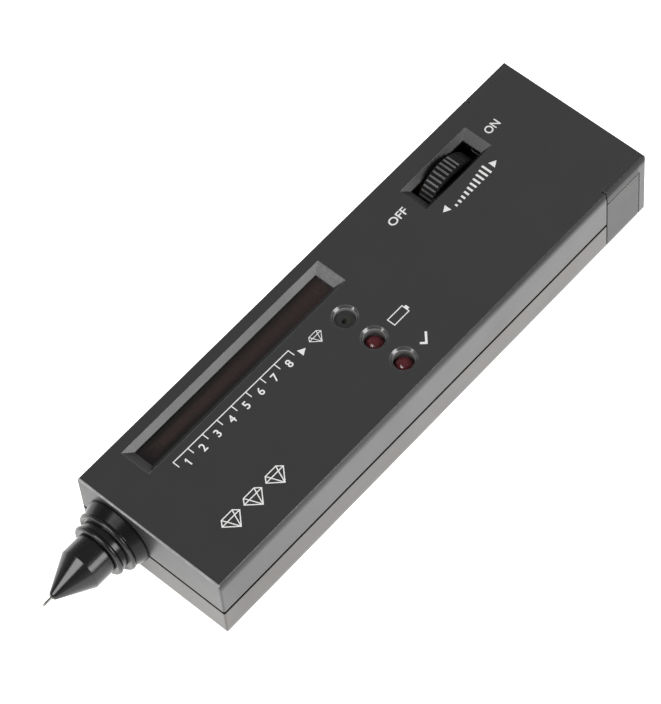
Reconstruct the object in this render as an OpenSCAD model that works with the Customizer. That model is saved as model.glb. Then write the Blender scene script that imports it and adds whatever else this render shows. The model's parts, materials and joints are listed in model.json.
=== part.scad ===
// Pocket diamond tester: a two-shell case with a sliding battery cover, a sprung
// heat probe on the nose, a light bar behind a dark window and a thumbwheel.
// Lengths are in millimetres. Inside the modules x runs back from the front face of
// the case, y runs to the left and z runs up. Left and right are as seen facing the probe.

/* [Battery] */
// Length of the battery's body
battery_l = 46.4; // [45:0.1:48]
// Width of the battery
battery_w = 26.2; // [25:0.1:27]
// Thickness of the battery
battery_t = 17.2; // [16.6:0.1:18]
// Play above and below the battery
battery_play = 0.2; // [0.1:0.05:0.4]
// Height of the battery's studs
stud_h = 2.4; // [2:0.1:3]
// Distance between the battery's studs
stud_pitch = 12.7; // [12.5:0.1:13]
// Thickness of the snap connector
snap_t = 4.4; // [3.8:0.1:5.5]
// Thickness of the foam pad behind the battery
pad_t = 2.7; // [1.5:0.1:3]

/* [Case] */
// Thickness of the case walls
wall = 1.7; // [1.5:0.1:2.1]
// Length of the bay ahead of the battery
board_bay_l = 90.6; // [90:0.2:96]
// Height of the line where the two shells meet
parting_z = 8.9; // [7.6:0.1:9]
// Width of the groove along that line
parting_gap = 0.7; // [0.2:0.05:0.8]
// Width of the seams round the battery cover
seam = 0.35; // [0.15:0.05:0.45]
// Rounding of the sides towards the top face
top_edge_r = 7; // [0.6:0.1:10]
// How far that rounding draws the top face in on each side
top_inset = 0.5; // [0.3:0.05:0.6]
// Rounding of the top edges at the two ends
end_edge_r = 0.4; // [0.2:0.1:0.8]
// Rounding of the bottom edges
bottom_edge_r = 0.3; // [0.2:0.1:1.2]
// Rounding of the upright corners
corner_r = 0.5; // [0.4:0.1:1.2]
// Length of the battery cover
cover_l = 14.2; // [12:0.2:16]
// Thickness of the cover's side tongues
tongue_t = 1; // [0.8:0.1:1.4]
// Clearance beside the cover's tongues
tongue_gap = 0.2; // [0.15:0.05:0.4]
// Length of the cover's side tongues inside the case
tongue_l = 6; // [4:0.5:7]
// Depth of the lines cut into the cover's sides
panel_depth = 0.25; // [0.15:0.05:0.4]

/* [Probe] */
// Distance of the probe's axis from the left side of the case
probe_inset = 11.7; // [10.5:0.1:12]
// Radius of the collar where it meets the case
collar_r = 9; // [8.6:0.1:9.6]
// Length of the collar behind its rear bead
collar_l = 3; // [2.4:0.1:4]
// Radius of the collar's rear bead
rear_bead_r = 8.4; // [8:0.1:8.8]
// Radius of the collar's front bead
front_bead_r = 7.15; // [6.8:0.05:7.6]
// Width of each bead
bead_w = 1.4; // [1:0.1:1.8]
// Length of the neck between the beads
neck_l = 1.5; // [1.2:0.1:2.2]
// Radius of the nose cone's straight part
cone_r = 5.5; // [5.2:0.1:6]
// Length of the nose cone's straight part
cone_straight_l = 5.6; // [5:0.1:7]
// Length of the nose cone's taper
cone_taper_l = 9; // [7:0.1:12]
// Radius of the nose cone's blunt end
cone_end_r = 1.05; // [0.9:0.05:1.4]
// Radius of the needle's point
needle_r = 0.35; // [0.3:0.05:0.5]
// Length of needle that stands out of the cone
needle_out = 2.7; // [2.2:0.1:3.5]
// How far the needle is pushed in by a stone
needle_travel = 1.5; // [1:0.1:2]
// Radius of the guide sleeve
sleeve_r = 3; // [2.8:0.1:3.2]
// Wall of the guide sleeve
sleeve_wall = 0.8; // [0.6:0.1:0.9]
// Running clearance round the needle and its stem
run_gap = 0.07; // [0.04:0.01:0.1]

/* [Light bar] */
// Length of the window's recess at the top face
window_l = 66; // [62:0.2:68]
// Width of the window's recess at the top face
window_w = 8.4; // [7.6:0.1:8.6]
// Distance of the window's front edge from the front face
window_x = 11; // [10.8:0.1:13]
// Distance of the window's middle from the left side of the case
window_inset = 7.65; // [6.8:0.05:7.9]
// Bevel at the window's ends
window_bevel_x = 2.6; // [1.5:0.1:3]
// Bevel along the window
window_bevel_y = 1.45; // [0.8:0.05:1.6]
// Depth of the bevels of both recesses
bevel_depth = 1.5; // [1.2:0.1:1.7]
// How far both recesses reach below the top wall
recess_lip = 0.3; // [0.2:0.1:0.6]
// Thickness of the window's filter
filter_t = 1.2; // [0.8:0.1:1.6]
// Number of lights in the bar
bar_count = 12; // [8:1:12]
// Distance between the lights of the bar
bar_pitch = 4.745; // [4.5:0.005:5]

/* [Lamps and buzzer] */
// Distance of the lamps from the front face
lamp_x = 69.5; // [67:0.5:72]
// Diameter of a lamp
lamp_d = 5; // [4.6:0.1:5.2]
// Height of a lamp without its leads
lamp_h = 8.6; // [8:0.1:9]
// Gap round a lamp in its hole
lamp_gap = 0.1; // [0.1:0.05:0.7]
// Flare round the rims of the three holes
hole_flare = 0.6; // [0.2:0.05:0.6]
// Depth of the lamps' tips below the top face
lamp_sink = 1.3; // [0.6:0.1:2.4]
// Distance between the three holes in the top
lamp_pitch = 8.8; // [8.7:0.1:9.2]
// Distance of the last lamp from the right side of the case
lamp_inset = 7.35; // [6.6:0.05:7.6]
// Wall of the sockets under the three holes
socket_wall = 0.8; // [0.6:0.1:1.2]
// Radius of the buzzer
buzzer_r = 5.4; // [5:0.1:5.6]
// Height of the buzzer
buzzer_h = 9; // [7:0.5:10]

/* [Thumbwheel] */
// Radius of the thumbwheel
wheel_r = 9; // [8.6:0.1:9.4]
// Width of the thumbwheel
wheel_w = 4.2; // [3.8:0.1:4.8]
// How far the wheel stands above the top face
wheel_proud = 0.7; // [0.4:0.1:1.2]
// Distance of the wheel's axle from the rear of the case
wheel_from_rear = 31.85; // [29:0.25:34]
// Running gap on each side of the wheel
wheel_gap = 0.4; // [0.3:0.05:0.6]
// Number of ridges round the wheel
ridge_count = 44; // [40:2:72]
// Height of a ridge
ridge_h = 0.45; // [0.3:0.05:0.6]
// Chamfer of the wheel's rim
rim_chamfer = 0.4; // [0.2:0.05:0.6]
// Length of the wheel's recess at the top face
slot_l = 23.3; // [22:0.1:24]
// Bevel at the ends of the wheel's recess
slot_bevel_x = 2.35; // [1.5:0.05:2.6]
// Bevel along the wheel's recess
slot_bevel_y = 1.25; // [0.8:0.05:1.6]
// Opening beside the wheel in the top
slot_gap = 0.7; // [0.45:0.05:0.8]
// Thickness of the rib between the battery and the wheel
rib_t = 1.2; // [1:0.1:1.6]
// Depth of the wheel's control
track_t = 2.4; // [2.2:0.1:2.8]
// Depth of the switch behind the control
switch_t = 1.6; // [1.4:0.1:1.8]
// Radius of the wheel's control
control_r = 6.1; // [5.6:0.1:6.3]
// Radius of the wheel's shaft
shaft_r = 2; // [1.6:0.1:2.4]

/* [Board and screws] */
// Height of the board's underside above the table
board_z = 5.6; // [5.2:0.1:5.8]
// Thickness of the board
board_t = 1.6; // [1.2:0.1:1.6]
// Clearance round the board
board_gap = 0.4; // [0.3:0.1:0.8]
// Radius of the case screws
screw_r = 1.25; // [1.1:0.05:1.4]
// Distance of the screw bosses from the sides of the case
boss_inset = 4.6; // [4.4:0.1:5]
// Length of the metal touch plate underneath
plate_l = 34; // [28:1:40]
// Width of the metal touch plate underneath
plate_w = 16; // [12:1:20]

/* [Hidden] */
$fn = 64;
// Overlap that keeps cuts and joins clean
eps = 0.5;
// Gaps between pieces that are pressed in, seated and loose
fit_gap = 0.05;
small_gap = 0.1;
rest_gap = 0.3;

// The case is sized by what it holds, from the floor up and from side to side
inner_h = battery_t + 2*battery_play;
case_h = inner_h + 2*wall;
tongue_room = tongue_t + 2*tongue_gap;
bay_gap = 0.7;
control_gap = 1.3;
control_t = track_t + switch_t;
inner_w = tongue_room + battery_w + bay_gap + rib_t + 2*wheel_gap + wheel_w + control_t + control_gap;
case_w = inner_w + 2*wall;
stud_gap = 0.2;
stud_r = 2.8;
socket_stud_r = 3.4;
snap_x = board_bay_l + rest_gap;
battery_x = snap_x + snap_t + stud_gap;
pad_gap = 0.4;
case_l = battery_x + battery_l + pad_gap + pad_t + wall;
cover_x = case_l - cover_l;

ceiling_z = case_h - wall;
// The roof runs on over the battery cover, between the cover's side walls
roof_w = inner_w - 2*small_gap;
// Height of the rounding on the sides
round_h = sqrt(2*top_edge_r*top_inset - top_inset*top_inset);
side_y = case_w/2;
inner_y = inner_w/2;

// From the right wall to the left: battery, rib, wheel, control
battery_y = -inner_y + tongue_room;
battery_mid_y = battery_y + battery_w/2;
rib_y = battery_y + battery_w + bay_gap;
wheel_y = rib_y + rib_t + wheel_gap;
wheel_mid_y = wheel_y + wheel_w/2;
control_y = wheel_y + wheel_w + wheel_gap;

// Probe stations, negative ahead of the front face
probe_y = side_y - probe_inset;
probe_z = case_h/2;
rear_bead_x = -collar_l - bead_w/2;
front_bead_x = -collar_l - bead_w - neck_l - bead_w/2;
cone_x = front_bead_x - bead_w/2;
taper_x = cone_x - cone_straight_l;
cone_end_x = taper_x - cone_taper_l;
needle_end_x = cone_end_x - needle_out;
probe_reach = -needle_end_x;
collar_step = 2.5;
spigot_r = collar_r - collar_step;
flange_lap = 1.5;
flange_r = spigot_r + flange_lap;
flange_t = 1.8;
flange_x = wall + small_gap;
cone_wall = 1;
cone_spigot_r = cone_r - cone_wall;
cone_spigot_l = 3;
sleeve_bore_r = sleeve_r - sleeve_wall;
stem_r = 1.2;
shoulder_set = 0.9;
shoulder_x = taper_x + shoulder_set;
head_t = 1;
head_gap = 0.2;
head_x = shoulder_x + small_gap;
head_r = sleeve_bore_r - head_gap;
guide_t = 1.5;
spring_wire_r = 0.2;
spring_turns = 7;
spring_room = 6.8;
spring_x = head_x + head_t + small_gap;
guide_x = spring_x + spring_room;
stem_back_l = 4.5;
heater_l = 3;
heater_x = guide_x + guide_t + needle_travel + stem_back_l;
terminal_gap = 0.2;
terminal_t = 1.3;
terminal_x = heater_x + heater_l + needle_travel + terminal_gap;
terminal_pin_l = 1;
terminal_pitch = 0.9;
sleeve_end_x = terminal_x + terminal_t;

// The model's origin is under the middle of its length
front_x = (probe_reach - case_l)/2;

// Window, lights and lamps
recess_depth = wall + recess_lip;
recess_z = case_h - recess_depth;
window_mid_x = window_x + window_l/2;
window_y = side_y - window_inset;
view_l = window_l - 2*window_bevel_x;
view_w = window_w - 2*window_bevel_y;
filter_lap = 1;
filter_l = view_l + 2*filter_lap;
filter_w = view_w + 2*filter_lap;
filter_z = recess_z - filter_t;
rim_margin = 0.4;
rim_w = filter_lap + rim_margin;
baffle_trim = 0.2;
baffle_top = filter_z - baffle_trim;
pocket_wall = 1.35;
pocket_l = bar_pitch - pocket_wall;
pocket_inset = 1;
pocket_w = filter_w - 2*pocket_inset;
led_gap_x = 0.5;
led_gap_y = 0.35;
led_drop = 1;
bar_led_l = pocket_l - 2*led_gap_x;
bar_led_w = pocket_w - 2*led_gap_y;
bar_led_h = 7.4;
lead_r = 0.25;
lead_set = 1.27;
lamp_flange_w = 0.4;
lamp_flange_h = 1;
lamp_hole_r = lamp_d/2 + lamp_gap;
lamp_y = -side_y + lamp_inset;
lamp_tip_z = case_h - lamp_sink;

// Wheel
wheel_x = case_l - wheel_from_rear;
wheel_z = case_h + wheel_proud - wheel_r;
slot_w = wheel_w + 2*slot_gap + 2*slot_bevel_y;
hub_wall = 1.6;
hub_r = shaft_r + hub_wall;
rim_t = 2;
dish_depth = 0.9;
axle_screw_r = 0.9;
axle_screw_l = 2;
axle_head_r = 2.2;
axle_head_t = 1.1;
shaft_y = wheel_y + dish_depth + axle_head_t;
shaft_end_gap = 0.6;
shaft_end_y = control_y + track_t - shaft_end_gap;
switch_step = 0.8;

// Board, bosses and screws
board_top = board_z + board_t;
board_front_gap = 1;
board_x = flange_x + flange_t + board_front_gap;
board_end_gap = 0.6;
board_end_x = board_bay_l - board_end_gap;
arm_margin = 1.4;
board_arm_x = wheel_x + control_r + arm_margin;
wheel_room = 0.6;
board_slot_x = wheel_x - wheel_r - wheel_room;
boss_r = 2.6;
pillar_r = 3.2;
front_boss_x = 7;
rear_boss_set = 5.2;
boss_x = [front_boss_x, board_bay_l - rear_boss_set];
screw_head_r = 2.3;
screw_head_t = 1.5;
screw_head_z = 4.6;
screw_l = 10;
post_r = 2.6;
board_screw_r = 1;
board_screw_l = 4.3;
board_head_r = 1.9;
board_head_t = 1.2;
rear_screw_shift = 0.45;
rear_screw_x = (lamp_x + buzzer_r + board_end_x)/2 - rear_screw_shift;
board_screw_at = [[12, -8], [rear_screw_x, 5]];
cross_w = 0.6;
cross_depth = 0.7;
lip_t = 0.7;
lip_h = 1;
rib_end_gap = 1;
plate_t = 0.5;
plate_x = 30;
plate_corner_r = 1.5;
tab_w = 4;
tab_set = 4;

// The probe's plug on the board, just ahead of the amplifier
plug_x = 16.4;
plug_y = 4.2;
plug_size = [3.2, 7.6, 5];
wire_pitch = 2;

// The sockets under the three holes end just above the buzzer
socket_z = board_top + buzzer_h + rest_gap;

// What stands along the board's right edge
side_row_y = -inner_y + 4.9;
trimmer_x = 29.5;
transistor_x = [38, 45];

// Chips: places, pitch of the legs, width and height of the body and its lift off the board
chip_y = 3.6;
amplifier_x = 25.5;
driver_x = 45;
pin_pitch = 2.54;
chip_w = 6.4;
chip_h = 3.2;
chip_lift = 0.6;

// Prints the sizes that follow from the contents
echo(case_l = case_l, case_w = case_w, case_h = case_h, over_all = case_l + probe_reach);

// Shared helpers

// Moves case coordinates to the model's origin
module place() {
    translate([front_x, 0, 0]) children();
}

// Extrudes a y-z outline along x
module along_x(x, l) {
    translate([x, 0, 0]) rotate([90, 0, 90]) linear_extrude(l) children();
}

// Extrudes an x-z outline along y
module along_y(y, l) {
    translate([0, y + l, 0]) rotate([90, 0, 0]) linear_extrude(l) children();
}

// Turns a radius and length outline about the probe's axis
module on_probe() {
    translate([0, probe_y, probe_z]) rotate([0, 90, 0]) rotate_extrude() children();
}

// A rod about the probe's axis
module probe_rod(x0, x1, r) {
    translate([x0, probe_y, probe_z]) rotate([0, 90, 0]) cylinder(r = r, h = x1 - x0);
}

// A rod about the wheel's axle
module axle_rod(y0, y1, r) {
    translate([wheel_x, y0, wheel_z]) rotate([-90, 0, 0]) cylinder(r = r, h = y1 - y0);
}

// What a rounded edge takes off a square corner that points along sx and sy
module edge_cut(r, sx, sy) {
    difference() {
        square(2*r, center = true);
        translate([-sx*r, -sy*r]) circle(r);
    }
}

module round_rect(l, w, r) {
    difference() {
        square([l, w], center = true);
        for (sx = [-1, 1], sy = [-1, 1]) translate([sx*l/2, sy*w/2]) edge_cut(r, sx, sy);
    }
}

// A box given by its middle in x and y, its lowest z and its size
module block(x, y, z, size) {
    translate([x - size[0]/2, y - size[1]/2, z]) cube(size);
}

// Swept round tubes for wires and the spring

function unit(v) = v/norm(v);
function tangent(path, i) = unit(path[min(i + 1, len(path) - 1)] - path[max(i - 1, 0)]);

function tube_points(path, r, n, side) = [
    for (i = [0 : len(path) - 1])
        let (t = tangent(path, i), u = unit(cross(t, side)), v = cross(t, u))
        for (k = [0 : n - 1]) path[i] + r*(cos(360*k/n)*u + sin(360*k/n)*v)
];

function tube_faces(rings, n) = concat(
    [[for (k = [0 : n - 1]) k]],
    [for (i = [0 : rings - 2], k = [0 : n - 1]) [i*n + k, (i + 1)*n + k, (i + 1)*n + (k + 1)%n]],
    [for (i = [0 : rings - 2], k = [0 : n - 1]) [i*n + k, (i + 1)*n + (k + 1)%n, i*n + (k + 1)%n]],
    [[for (k = [n - 1 : -1 : 0]) (rings - 1)*n + k]]
);

module tube(path, r, n, side) {
    polyhedron(tube_points(path, r, n, side), tube_faces(len(path), n));
}

// Case

module case_section() {
    difference() {
        translate([-side_y, 0]) square([case_w, case_h]);
        for (s = [-1, 1]) {
            translate([s*side_y, case_h - round_h]) side_cut(s);
            translate([s*side_y, 0]) edge_cut(bottom_edge_r, s, -1);
        }
    }
}

// What the rounding takes off a side, up from where it starts
module side_cut(s) {
    difference() {
        translate([-2*top_inset, 0]) square([4*top_inset, round_h + eps]);
        translate([-s*top_edge_r, 0]) circle(top_edge_r);
    }
}

module case_profile() {
    difference() {
        square([case_l, case_h]);
        translate([0, case_h]) edge_cut(end_edge_r, -1, 1);
        translate([0, 0]) edge_cut(bottom_edge_r, -1, -1);
        translate([case_l, case_h]) edge_cut(end_edge_r, 1, 1);
        translate([case_l, 0]) edge_cut(bottom_edge_r, 1, -1);
    }
}

module case_form() {
    intersection() {
        along_x(0, case_l) case_section();
        along_y(-side_y, case_w) case_profile();
        linear_extrude(case_h) translate([case_l/2, 0]) round_rect(case_l, case_w, corner_r);
    }
}

// The part of the case form between two stations and two heights
module case_slice(x0, x1, z0, z1) {
    intersection() {
        case_form();
        translate([x0, -side_y - eps, z0]) cube([x1 - x0, case_w + 2*eps, z1 - z0]);
    }
}

module case_cavity(z0, z1) {
    translate([wall, -inner_y, z0]) cube([case_l, inner_w, z1 - z0]);
}

// The lip that closes the parting line from inside, with room round it
module parting_lip(gap) {
    inset = wall - lip_t - gap;
    difference() {
        translate([inset, -side_y + inset, parting_z - lip_h])
            cube([cover_x - seam - inset, case_w - 2*inset, 2*lip_h + gap]);
        case_cavity(0, case_h);
    }
}

module at_bosses() {
    for (x = boss_x, s = [-1, 1]) translate([x, s*(side_y - boss_inset), 0]) children();
}

// A recess with four bevelled sides, open at its floor
module bevelled_recess(x, y, l, w, bevel_x, bevel_y) {
    rise = eps/bevel_depth;
    translate([x, y, case_h]) {
        intersection() {
            along_y(-w, 2*w) polygon([
                [-l/2 + bevel_x, -bevel_depth], [l/2 - bevel_x, -bevel_depth],
                [l/2 + rise*bevel_x, eps], [-l/2 - rise*bevel_x, eps]
            ]);
            along_x(-l, 2*l) polygon([
                [-w/2 + bevel_y, -bevel_depth], [w/2 - bevel_y, -bevel_depth],
                [w/2 + rise*bevel_y, eps], [-w/2 - rise*bevel_y, eps]
            ]);
        }
        block(0, 0, -recess_depth - eps, [l - 2*bevel_x, w - 2*bevel_y, recess_depth]);
    }
}

module recess_rim(x, y, l, w) {
    block(x, y, recess_z, [l, w, recess_lip + eps]);
}

// The three holes in the top, the last of them over the buzzer
module at_lamps() {
    for (i = [0 : 2]) translate([lamp_x, lamp_y + i*lamp_pitch, 0]) children();
}

module upper_case() {
    color("#3c3d3e") place() difference() {
        union() {
            difference() {
                case_slice(0, case_l + eps, parting_z + parting_gap/2, case_h + eps);
                case_cavity(0, ceiling_z);
                translate([cover_x - seam/2, -side_y - eps, 0])
                    cube([cover_l + seam, case_w + 2*eps, ceiling_z]);
                on_both_sides() translate([cover_x - seam/2, roof_w/2, 0])
                    cube([cover_l + seam, case_w, case_h + eps]);
            }
            at_bosses() translate([0, 0, parting_z]) cylinder(r = boss_r, h = ceiling_z + eps - parting_z);
            translate([board_bay_l, rib_y, parting_z + parting_gap/2])
                cube([cover_x - rib_end_gap - board_bay_l, rib_t, ceiling_z + eps - parting_z]);
            recess_rim(window_mid_x, window_y, view_l + 2*rim_w, view_w + 2*rim_w);
            recess_rim(wheel_x, wheel_mid_y, slot_l, slot_w - slot_bevel_y);
            at_lamps() translate([0, 0, socket_z])
                cylinder(r = lamp_hole_r + socket_wall, h = ceiling_z + eps - socket_z);
        }
        parting_lip(small_gap);
        at_bosses() cylinder(r = screw_r + fit_gap, h = screw_head_z + screw_l + eps);
        bevelled_recess(window_mid_x, window_y, window_l, window_w, window_bevel_x, window_bevel_y);
        bevelled_recess(wheel_x, wheel_mid_y, slot_l, slot_w, slot_bevel_x, slot_bevel_y);
        at_lamps() {
            translate([0, 0, socket_z - eps]) cylinder(r = lamp_hole_r, h = case_h - socket_z + 2*eps);
            translate([0, 0, case_h - hole_flare])
                cylinder(r1 = lamp_hole_r, r2 = lamp_hole_r + hole_flare + eps, h = hole_flare + eps);
        }
        probe_rod(-eps, wall + eps, spigot_r + small_gap);
    }
}

module lower_case() {
    color("#3a3b3c") place() difference() {
        union() {
            difference() {
                case_slice(0, cover_x - seam/2, 0, parting_z - parting_gap/2);
                case_cavity(wall, case_h);
            }
            difference() {
                parting_lip(0);
                translate([0, -side_y, 0]) cube([cover_x, case_w, parting_z - lip_h + eps/2]);
            }
            at_bosses() cylinder(r = pillar_r, h = parting_z);
            for (p = board_screw_at) translate([p[0], p[1], wall - eps])
                cylinder(r = post_r, h = board_z - wall + eps);
            translate([board_bay_l - rib_t, -inner_y - eps, wall - eps])
                cube([rib_t, rib_y + rib_t + inner_y + eps, board_z - wall]);
            translate([board_bay_l, rib_y, wall - eps])
                cube([cover_x - rib_end_gap - board_bay_l, rib_t, parting_z - parting_gap/2 - wall + eps]);
        }
        at_bosses() {
            translate([0, 0, -eps]) cylinder(r = screw_r + small_gap, h = case_h);
            translate([0, 0, -eps]) cylinder(r = screw_head_r + small_gap, h = screw_head_z + eps);
        }
        for (p = board_screw_at) translate([p[0], p[1], board_top - board_screw_l - small_gap])
            cylinder(r = board_screw_r + fit_gap, h = case_h);
        touch_plate_form(small_gap);
        probe_rod(-eps, wall + eps, spigot_r + small_gap);
    }
}

module battery_cover() {
    tongue_h = 10.5;
    tongue_z = (case_h - tongue_h)/2;
    tongue_root_l = 1.5;
    tongue_root = 0.9;
    line_w = 0.45;
    line_from_rear = 2.7;
    line_from_top = 4.2;
    line_x = case_l - line_from_rear;
    line_z = case_h - line_from_top;
    grip_count = 5;
    grip_pitch = 1.6;
    grip_r = 0.5;
    root_x = cover_x + seam/2 + tongue_root;
    tongue_y = inner_y - tongue_gap - tongue_t;
    color("#3a3b3c") place() difference() {
        union() {
            difference() {
                case_slice(cover_x + seam/2, case_l + eps, -eps, case_h + eps);
                translate([cover_x - eps, -inner_y, wall]) cube([cover_l + eps - wall, inner_w, case_h]);
                translate([cover_x - eps, -inner_y, ceiling_z - seam]) cube([2*cover_l, inner_w, case_h]);
            }
            on_both_sides() {
                translate([cover_x - tongue_l, tongue_y, tongue_z])
                    cube([root_x + tongue_root_l - cover_x + tongue_l, tongue_t, tongue_h]);
                translate([root_x, tongue_y, tongue_z])
                    cube([tongue_root_l, tongue_t + tongue_gap + eps, tongue_h]);
            }
        }
        // Two lines that meet near the rear top corner of each side
        on_both_sides() {
            translate([cover_x, side_y - panel_depth, line_z])
                cube([line_x + line_w - cover_x, panel_depth + eps, line_w]);
            translate([line_x, side_y - panel_depth, -eps]) cube([line_w, panel_depth + eps, line_z + eps]);
        }
        for (i = [0 : grip_count - 1])
            translate([cover_x + cover_l/2 + (i - (grip_count - 1)/2)*grip_pitch, 0, 0]) rotate([90, 0, 0])
                cylinder(r = grip_r, h = case_w/2, center = true);
    }
}

// Draws on the left side and mirrors it to the right one
module on_both_sides() {
    for (s = [0, 1]) mirror([0, s, 0]) children();
}

// A cross cut into a screw's head from height z
module cross_slot(head_r, z, depth) {
    margin = 0.8;
    for (a = [0, 90]) rotate(a) block(0, 0, z, [2*(head_r - margin), cross_w, depth]);
}

module case_screws() {
    color("#9a9a98") place() at_bosses() translate([0, 0, screw_head_z - screw_head_t]) difference() {
        union() {
            cylinder(r = screw_head_r, h = screw_head_t);
            cylinder(r = screw_r, h = screw_head_t + screw_l);
        }
        cross_slot(screw_head_r, -eps, eps + cross_depth);
    }
}

// The touch plate in its shallow recess, and the tab that reaches the board
module touch_plate_form(gap) {
    tab_x = plate_x + plate_l - tab_set;
    translate([plate_x + plate_l/2, 0, gap > 0 ? -eps : small_gap])
        linear_extrude(plate_t + (gap > 0 ? eps + small_gap : 0))
            round_rect(plate_l + 2*gap, plate_w + 2*gap, plate_corner_r);
    block(tab_x, 0, small_gap + plate_t/2, [plate_t + 2*gap, tab_w + 2*gap, board_z - small_gap - plate_t/2]);
}

module touch_plate() {
    color("#b9bab8") place() touch_plate_form(0);
}

// Probe

module probe_collar() {
    bead_r = bead_w/2;
    neck_r = front_bead_r - 0.45;
    foot_l = 0.5;
    waist_r = rear_bead_r - 0.3;
    // The rear bead's front shoulder, where its round side is 0.6 and 0.8 of its radius out
    shoulder_l = 0.6*bead_r;
    shoulder_r = rear_bead_r - bead_r + 0.8*bead_r;
    color("#161616") place() difference() {
        union() {
            on_probe() polygon([
                [0, 0], [collar_r, 0], [collar_r, -foot_l],
                [waist_r, -collar_l], [waist_r, rear_bead_x], [0, rear_bead_x]
            ]);
            on_probe() translate([rear_bead_r - bead_r, rear_bead_x]) circle(bead_r);
            probe_rod(rear_bead_x - shoulder_l, rear_bead_x, shoulder_r);
            probe_rod(front_bead_x, rear_bead_x, neck_r);
            on_probe() translate([front_bead_r - bead_r, front_bead_x]) circle(bead_r);
            probe_rod(cone_x, front_bead_x, front_bead_r - bead_r);
            probe_rod(cone_x - cone_spigot_l, cone_x, cone_spigot_r);
            probe_rod(0, flange_x + flange_t, spigot_r);
            probe_rod(flange_x, flange_x + flange_t, flange_r);
        }
        probe_rod(cone_x - cone_spigot_l - eps, flange_x + flange_t + eps, sleeve_r + fit_gap);
    }
}

module nose_cone() {
    end_round = 0.3;
    edge = 0.2;
    color("#141414") place() difference() {
        on_probe() polygon([
            [0, cone_x], [cone_r - edge, cone_x], [cone_r, cone_x - edge],
            [cone_r, taper_x], [cone_end_r, cone_end_x + end_round],
            [cone_end_r - end_round, cone_end_x], [0, cone_end_x]
        ]);
        probe_rod(cone_x - cone_spigot_l - small_gap, cone_x + eps, cone_spigot_r + fit_gap);
        probe_rod(shoulder_x, cone_x, sleeve_r + fit_gap);
        probe_rod(cone_end_x - eps, shoulder_x + eps, needle_r + run_gap);
    }
}

module probe_sleeve() {
    color("#b8923e") place() difference() {
        probe_rod(shoulder_x + small_gap, sleeve_end_x, sleeve_r);
        probe_rod(shoulder_x, guide_x, sleeve_bore_r);
        probe_rod(guide_x - eps, guide_x + guide_t + eps, stem_r + run_gap);
        probe_rod(guide_x + guide_t, sleeve_end_x + eps, sleeve_bore_r);
    }
}

module probe_tip() {
    point_l = 0.5;
    point_r = needle_r/2;
    color("#b87848") place() on_probe() polygon([
        [0, needle_end_x], [point_r, needle_end_x], [needle_r, needle_end_x + point_l],
        [needle_r, head_x], [head_r, head_x], [head_r, head_x + head_t],
        [stem_r, head_x + head_t], [stem_r, heater_x], [0, heater_x]
    ]);
}

module probe_heater() {
    heater_r = sleeve_bore_r - rest_gap;
    color("#d8d2c4") place() probe_rod(heater_x, heater_x + heater_l, heater_r);
}

module probe_spring() {
    coil_r = (stem_r + head_r)/2 + fit_gap;
    turn_rings = 8;
    rings = turn_rings*spring_turns;
    coil_x0 = spring_x + spring_wire_r;
    coil_l = guide_x - small_gap - spring_wire_r - coil_x0;
    path = [for (i = [0 : rings]) let (a = 360*i/turn_rings) [
        coil_x0 + coil_l*i/rings,
        probe_y + coil_r*cos(a),
        probe_z + coil_r*sin(a)
    ]];
    color("#a8a8a6") place() tube(path, spring_wire_r, 6, [1, 0, 0]);
}

module probe_terminal() {
    color("#20211f") place() {
        probe_rod(terminal_x, sleeve_end_x, sleeve_bore_r - fit_gap);
        for (i = [-1 : 1]) translate([sleeve_end_x - eps, probe_y, probe_z + terminal_pitch*i])
            rotate([0, 90, 0]) cylinder(r = lead_r, h = terminal_pin_l + eps);
    }
}

// Three wires, each in a lane of its own, from the sleeve's end into the plug's top
module probe_wires() {
    wire_r = 0.35;
    start_x = sleeve_end_x + terminal_pin_l;
    plug_top = board_top + plug_size[2];
    color("#c8b03a") place() for (i = [-1 : 1]) {
        lane_x = start_x + terminal_pitch*(2 - i);
        lane_y = plug_y - wire_pitch*i;
        lane_z = probe_z + terminal_pitch*i;
        tube([
            [start_x, probe_y, lane_z],
            [start_x + 0.4, probe_y, lane_z],
            [lane_x, probe_y - 0.8, lane_z],
            [lane_x + 0.1, probe_y - 2.2, lane_z + 0.2],
            [lane_x + 0.6, lane_y + 1.5, plug_top + 1.2],
            [plug_x - 1, lane_y + 0.3, plug_top + 2.2],
            [plug_x, lane_y, plug_top + 1.3],
            [plug_x, lane_y, plug_top]
        ], wire_r, 8, [1, 0.4, 0.3]);
    }
}

module probe_connector() {
    latch = [1, 1, 2];
    latch_z = board_top + 1.5;
    color("#e6e2d6") place() difference() {
        block(plug_x, plug_y, board_top, plug_size);
        for (i = [-1 : 1]) block(plug_x - plug_size[0]/2, plug_y + wire_pitch*i, latch_z, latch);
    }
}

// Light bar, lamps and buzzer

module window_filter() {
    color("#2a0d0e") place() block(window_mid_x, window_y, filter_z, [filter_l, filter_w, filter_t]);
}

module at_bar() {
    for (i = [0 : bar_count - 1])
        translate([window_mid_x + (i - (bar_count - 1)/2)*bar_pitch, window_y, 0]) children();
}

module light_baffle() {
    baffle_l = filter_l - 2*baffle_trim;
    baffle_w = filter_w - 2*baffle_trim;
    baffle_h = baffle_top - board_top;
    color("#1b1b1b") place() difference() {
        block(window_mid_x, window_y, board_top, [baffle_l, baffle_w, baffle_h]);
        at_bar() block(0, 0, board_top - eps, [pocket_l, pocket_w, baffle_h + 2*eps]);
    }
}

module bar_leds() {
    led_top = filter_z - led_drop;
    color("#b3262a") place() at_bar() {
        block(0, 0, led_top - bar_led_h, [bar_led_l, bar_led_w, bar_led_h]);
        for (s = [-1, 1]) translate([0, s*lead_set, board_top])
            cylinder(r = lead_r, h = led_top - bar_led_h/2 - board_top);
    }
}

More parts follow.
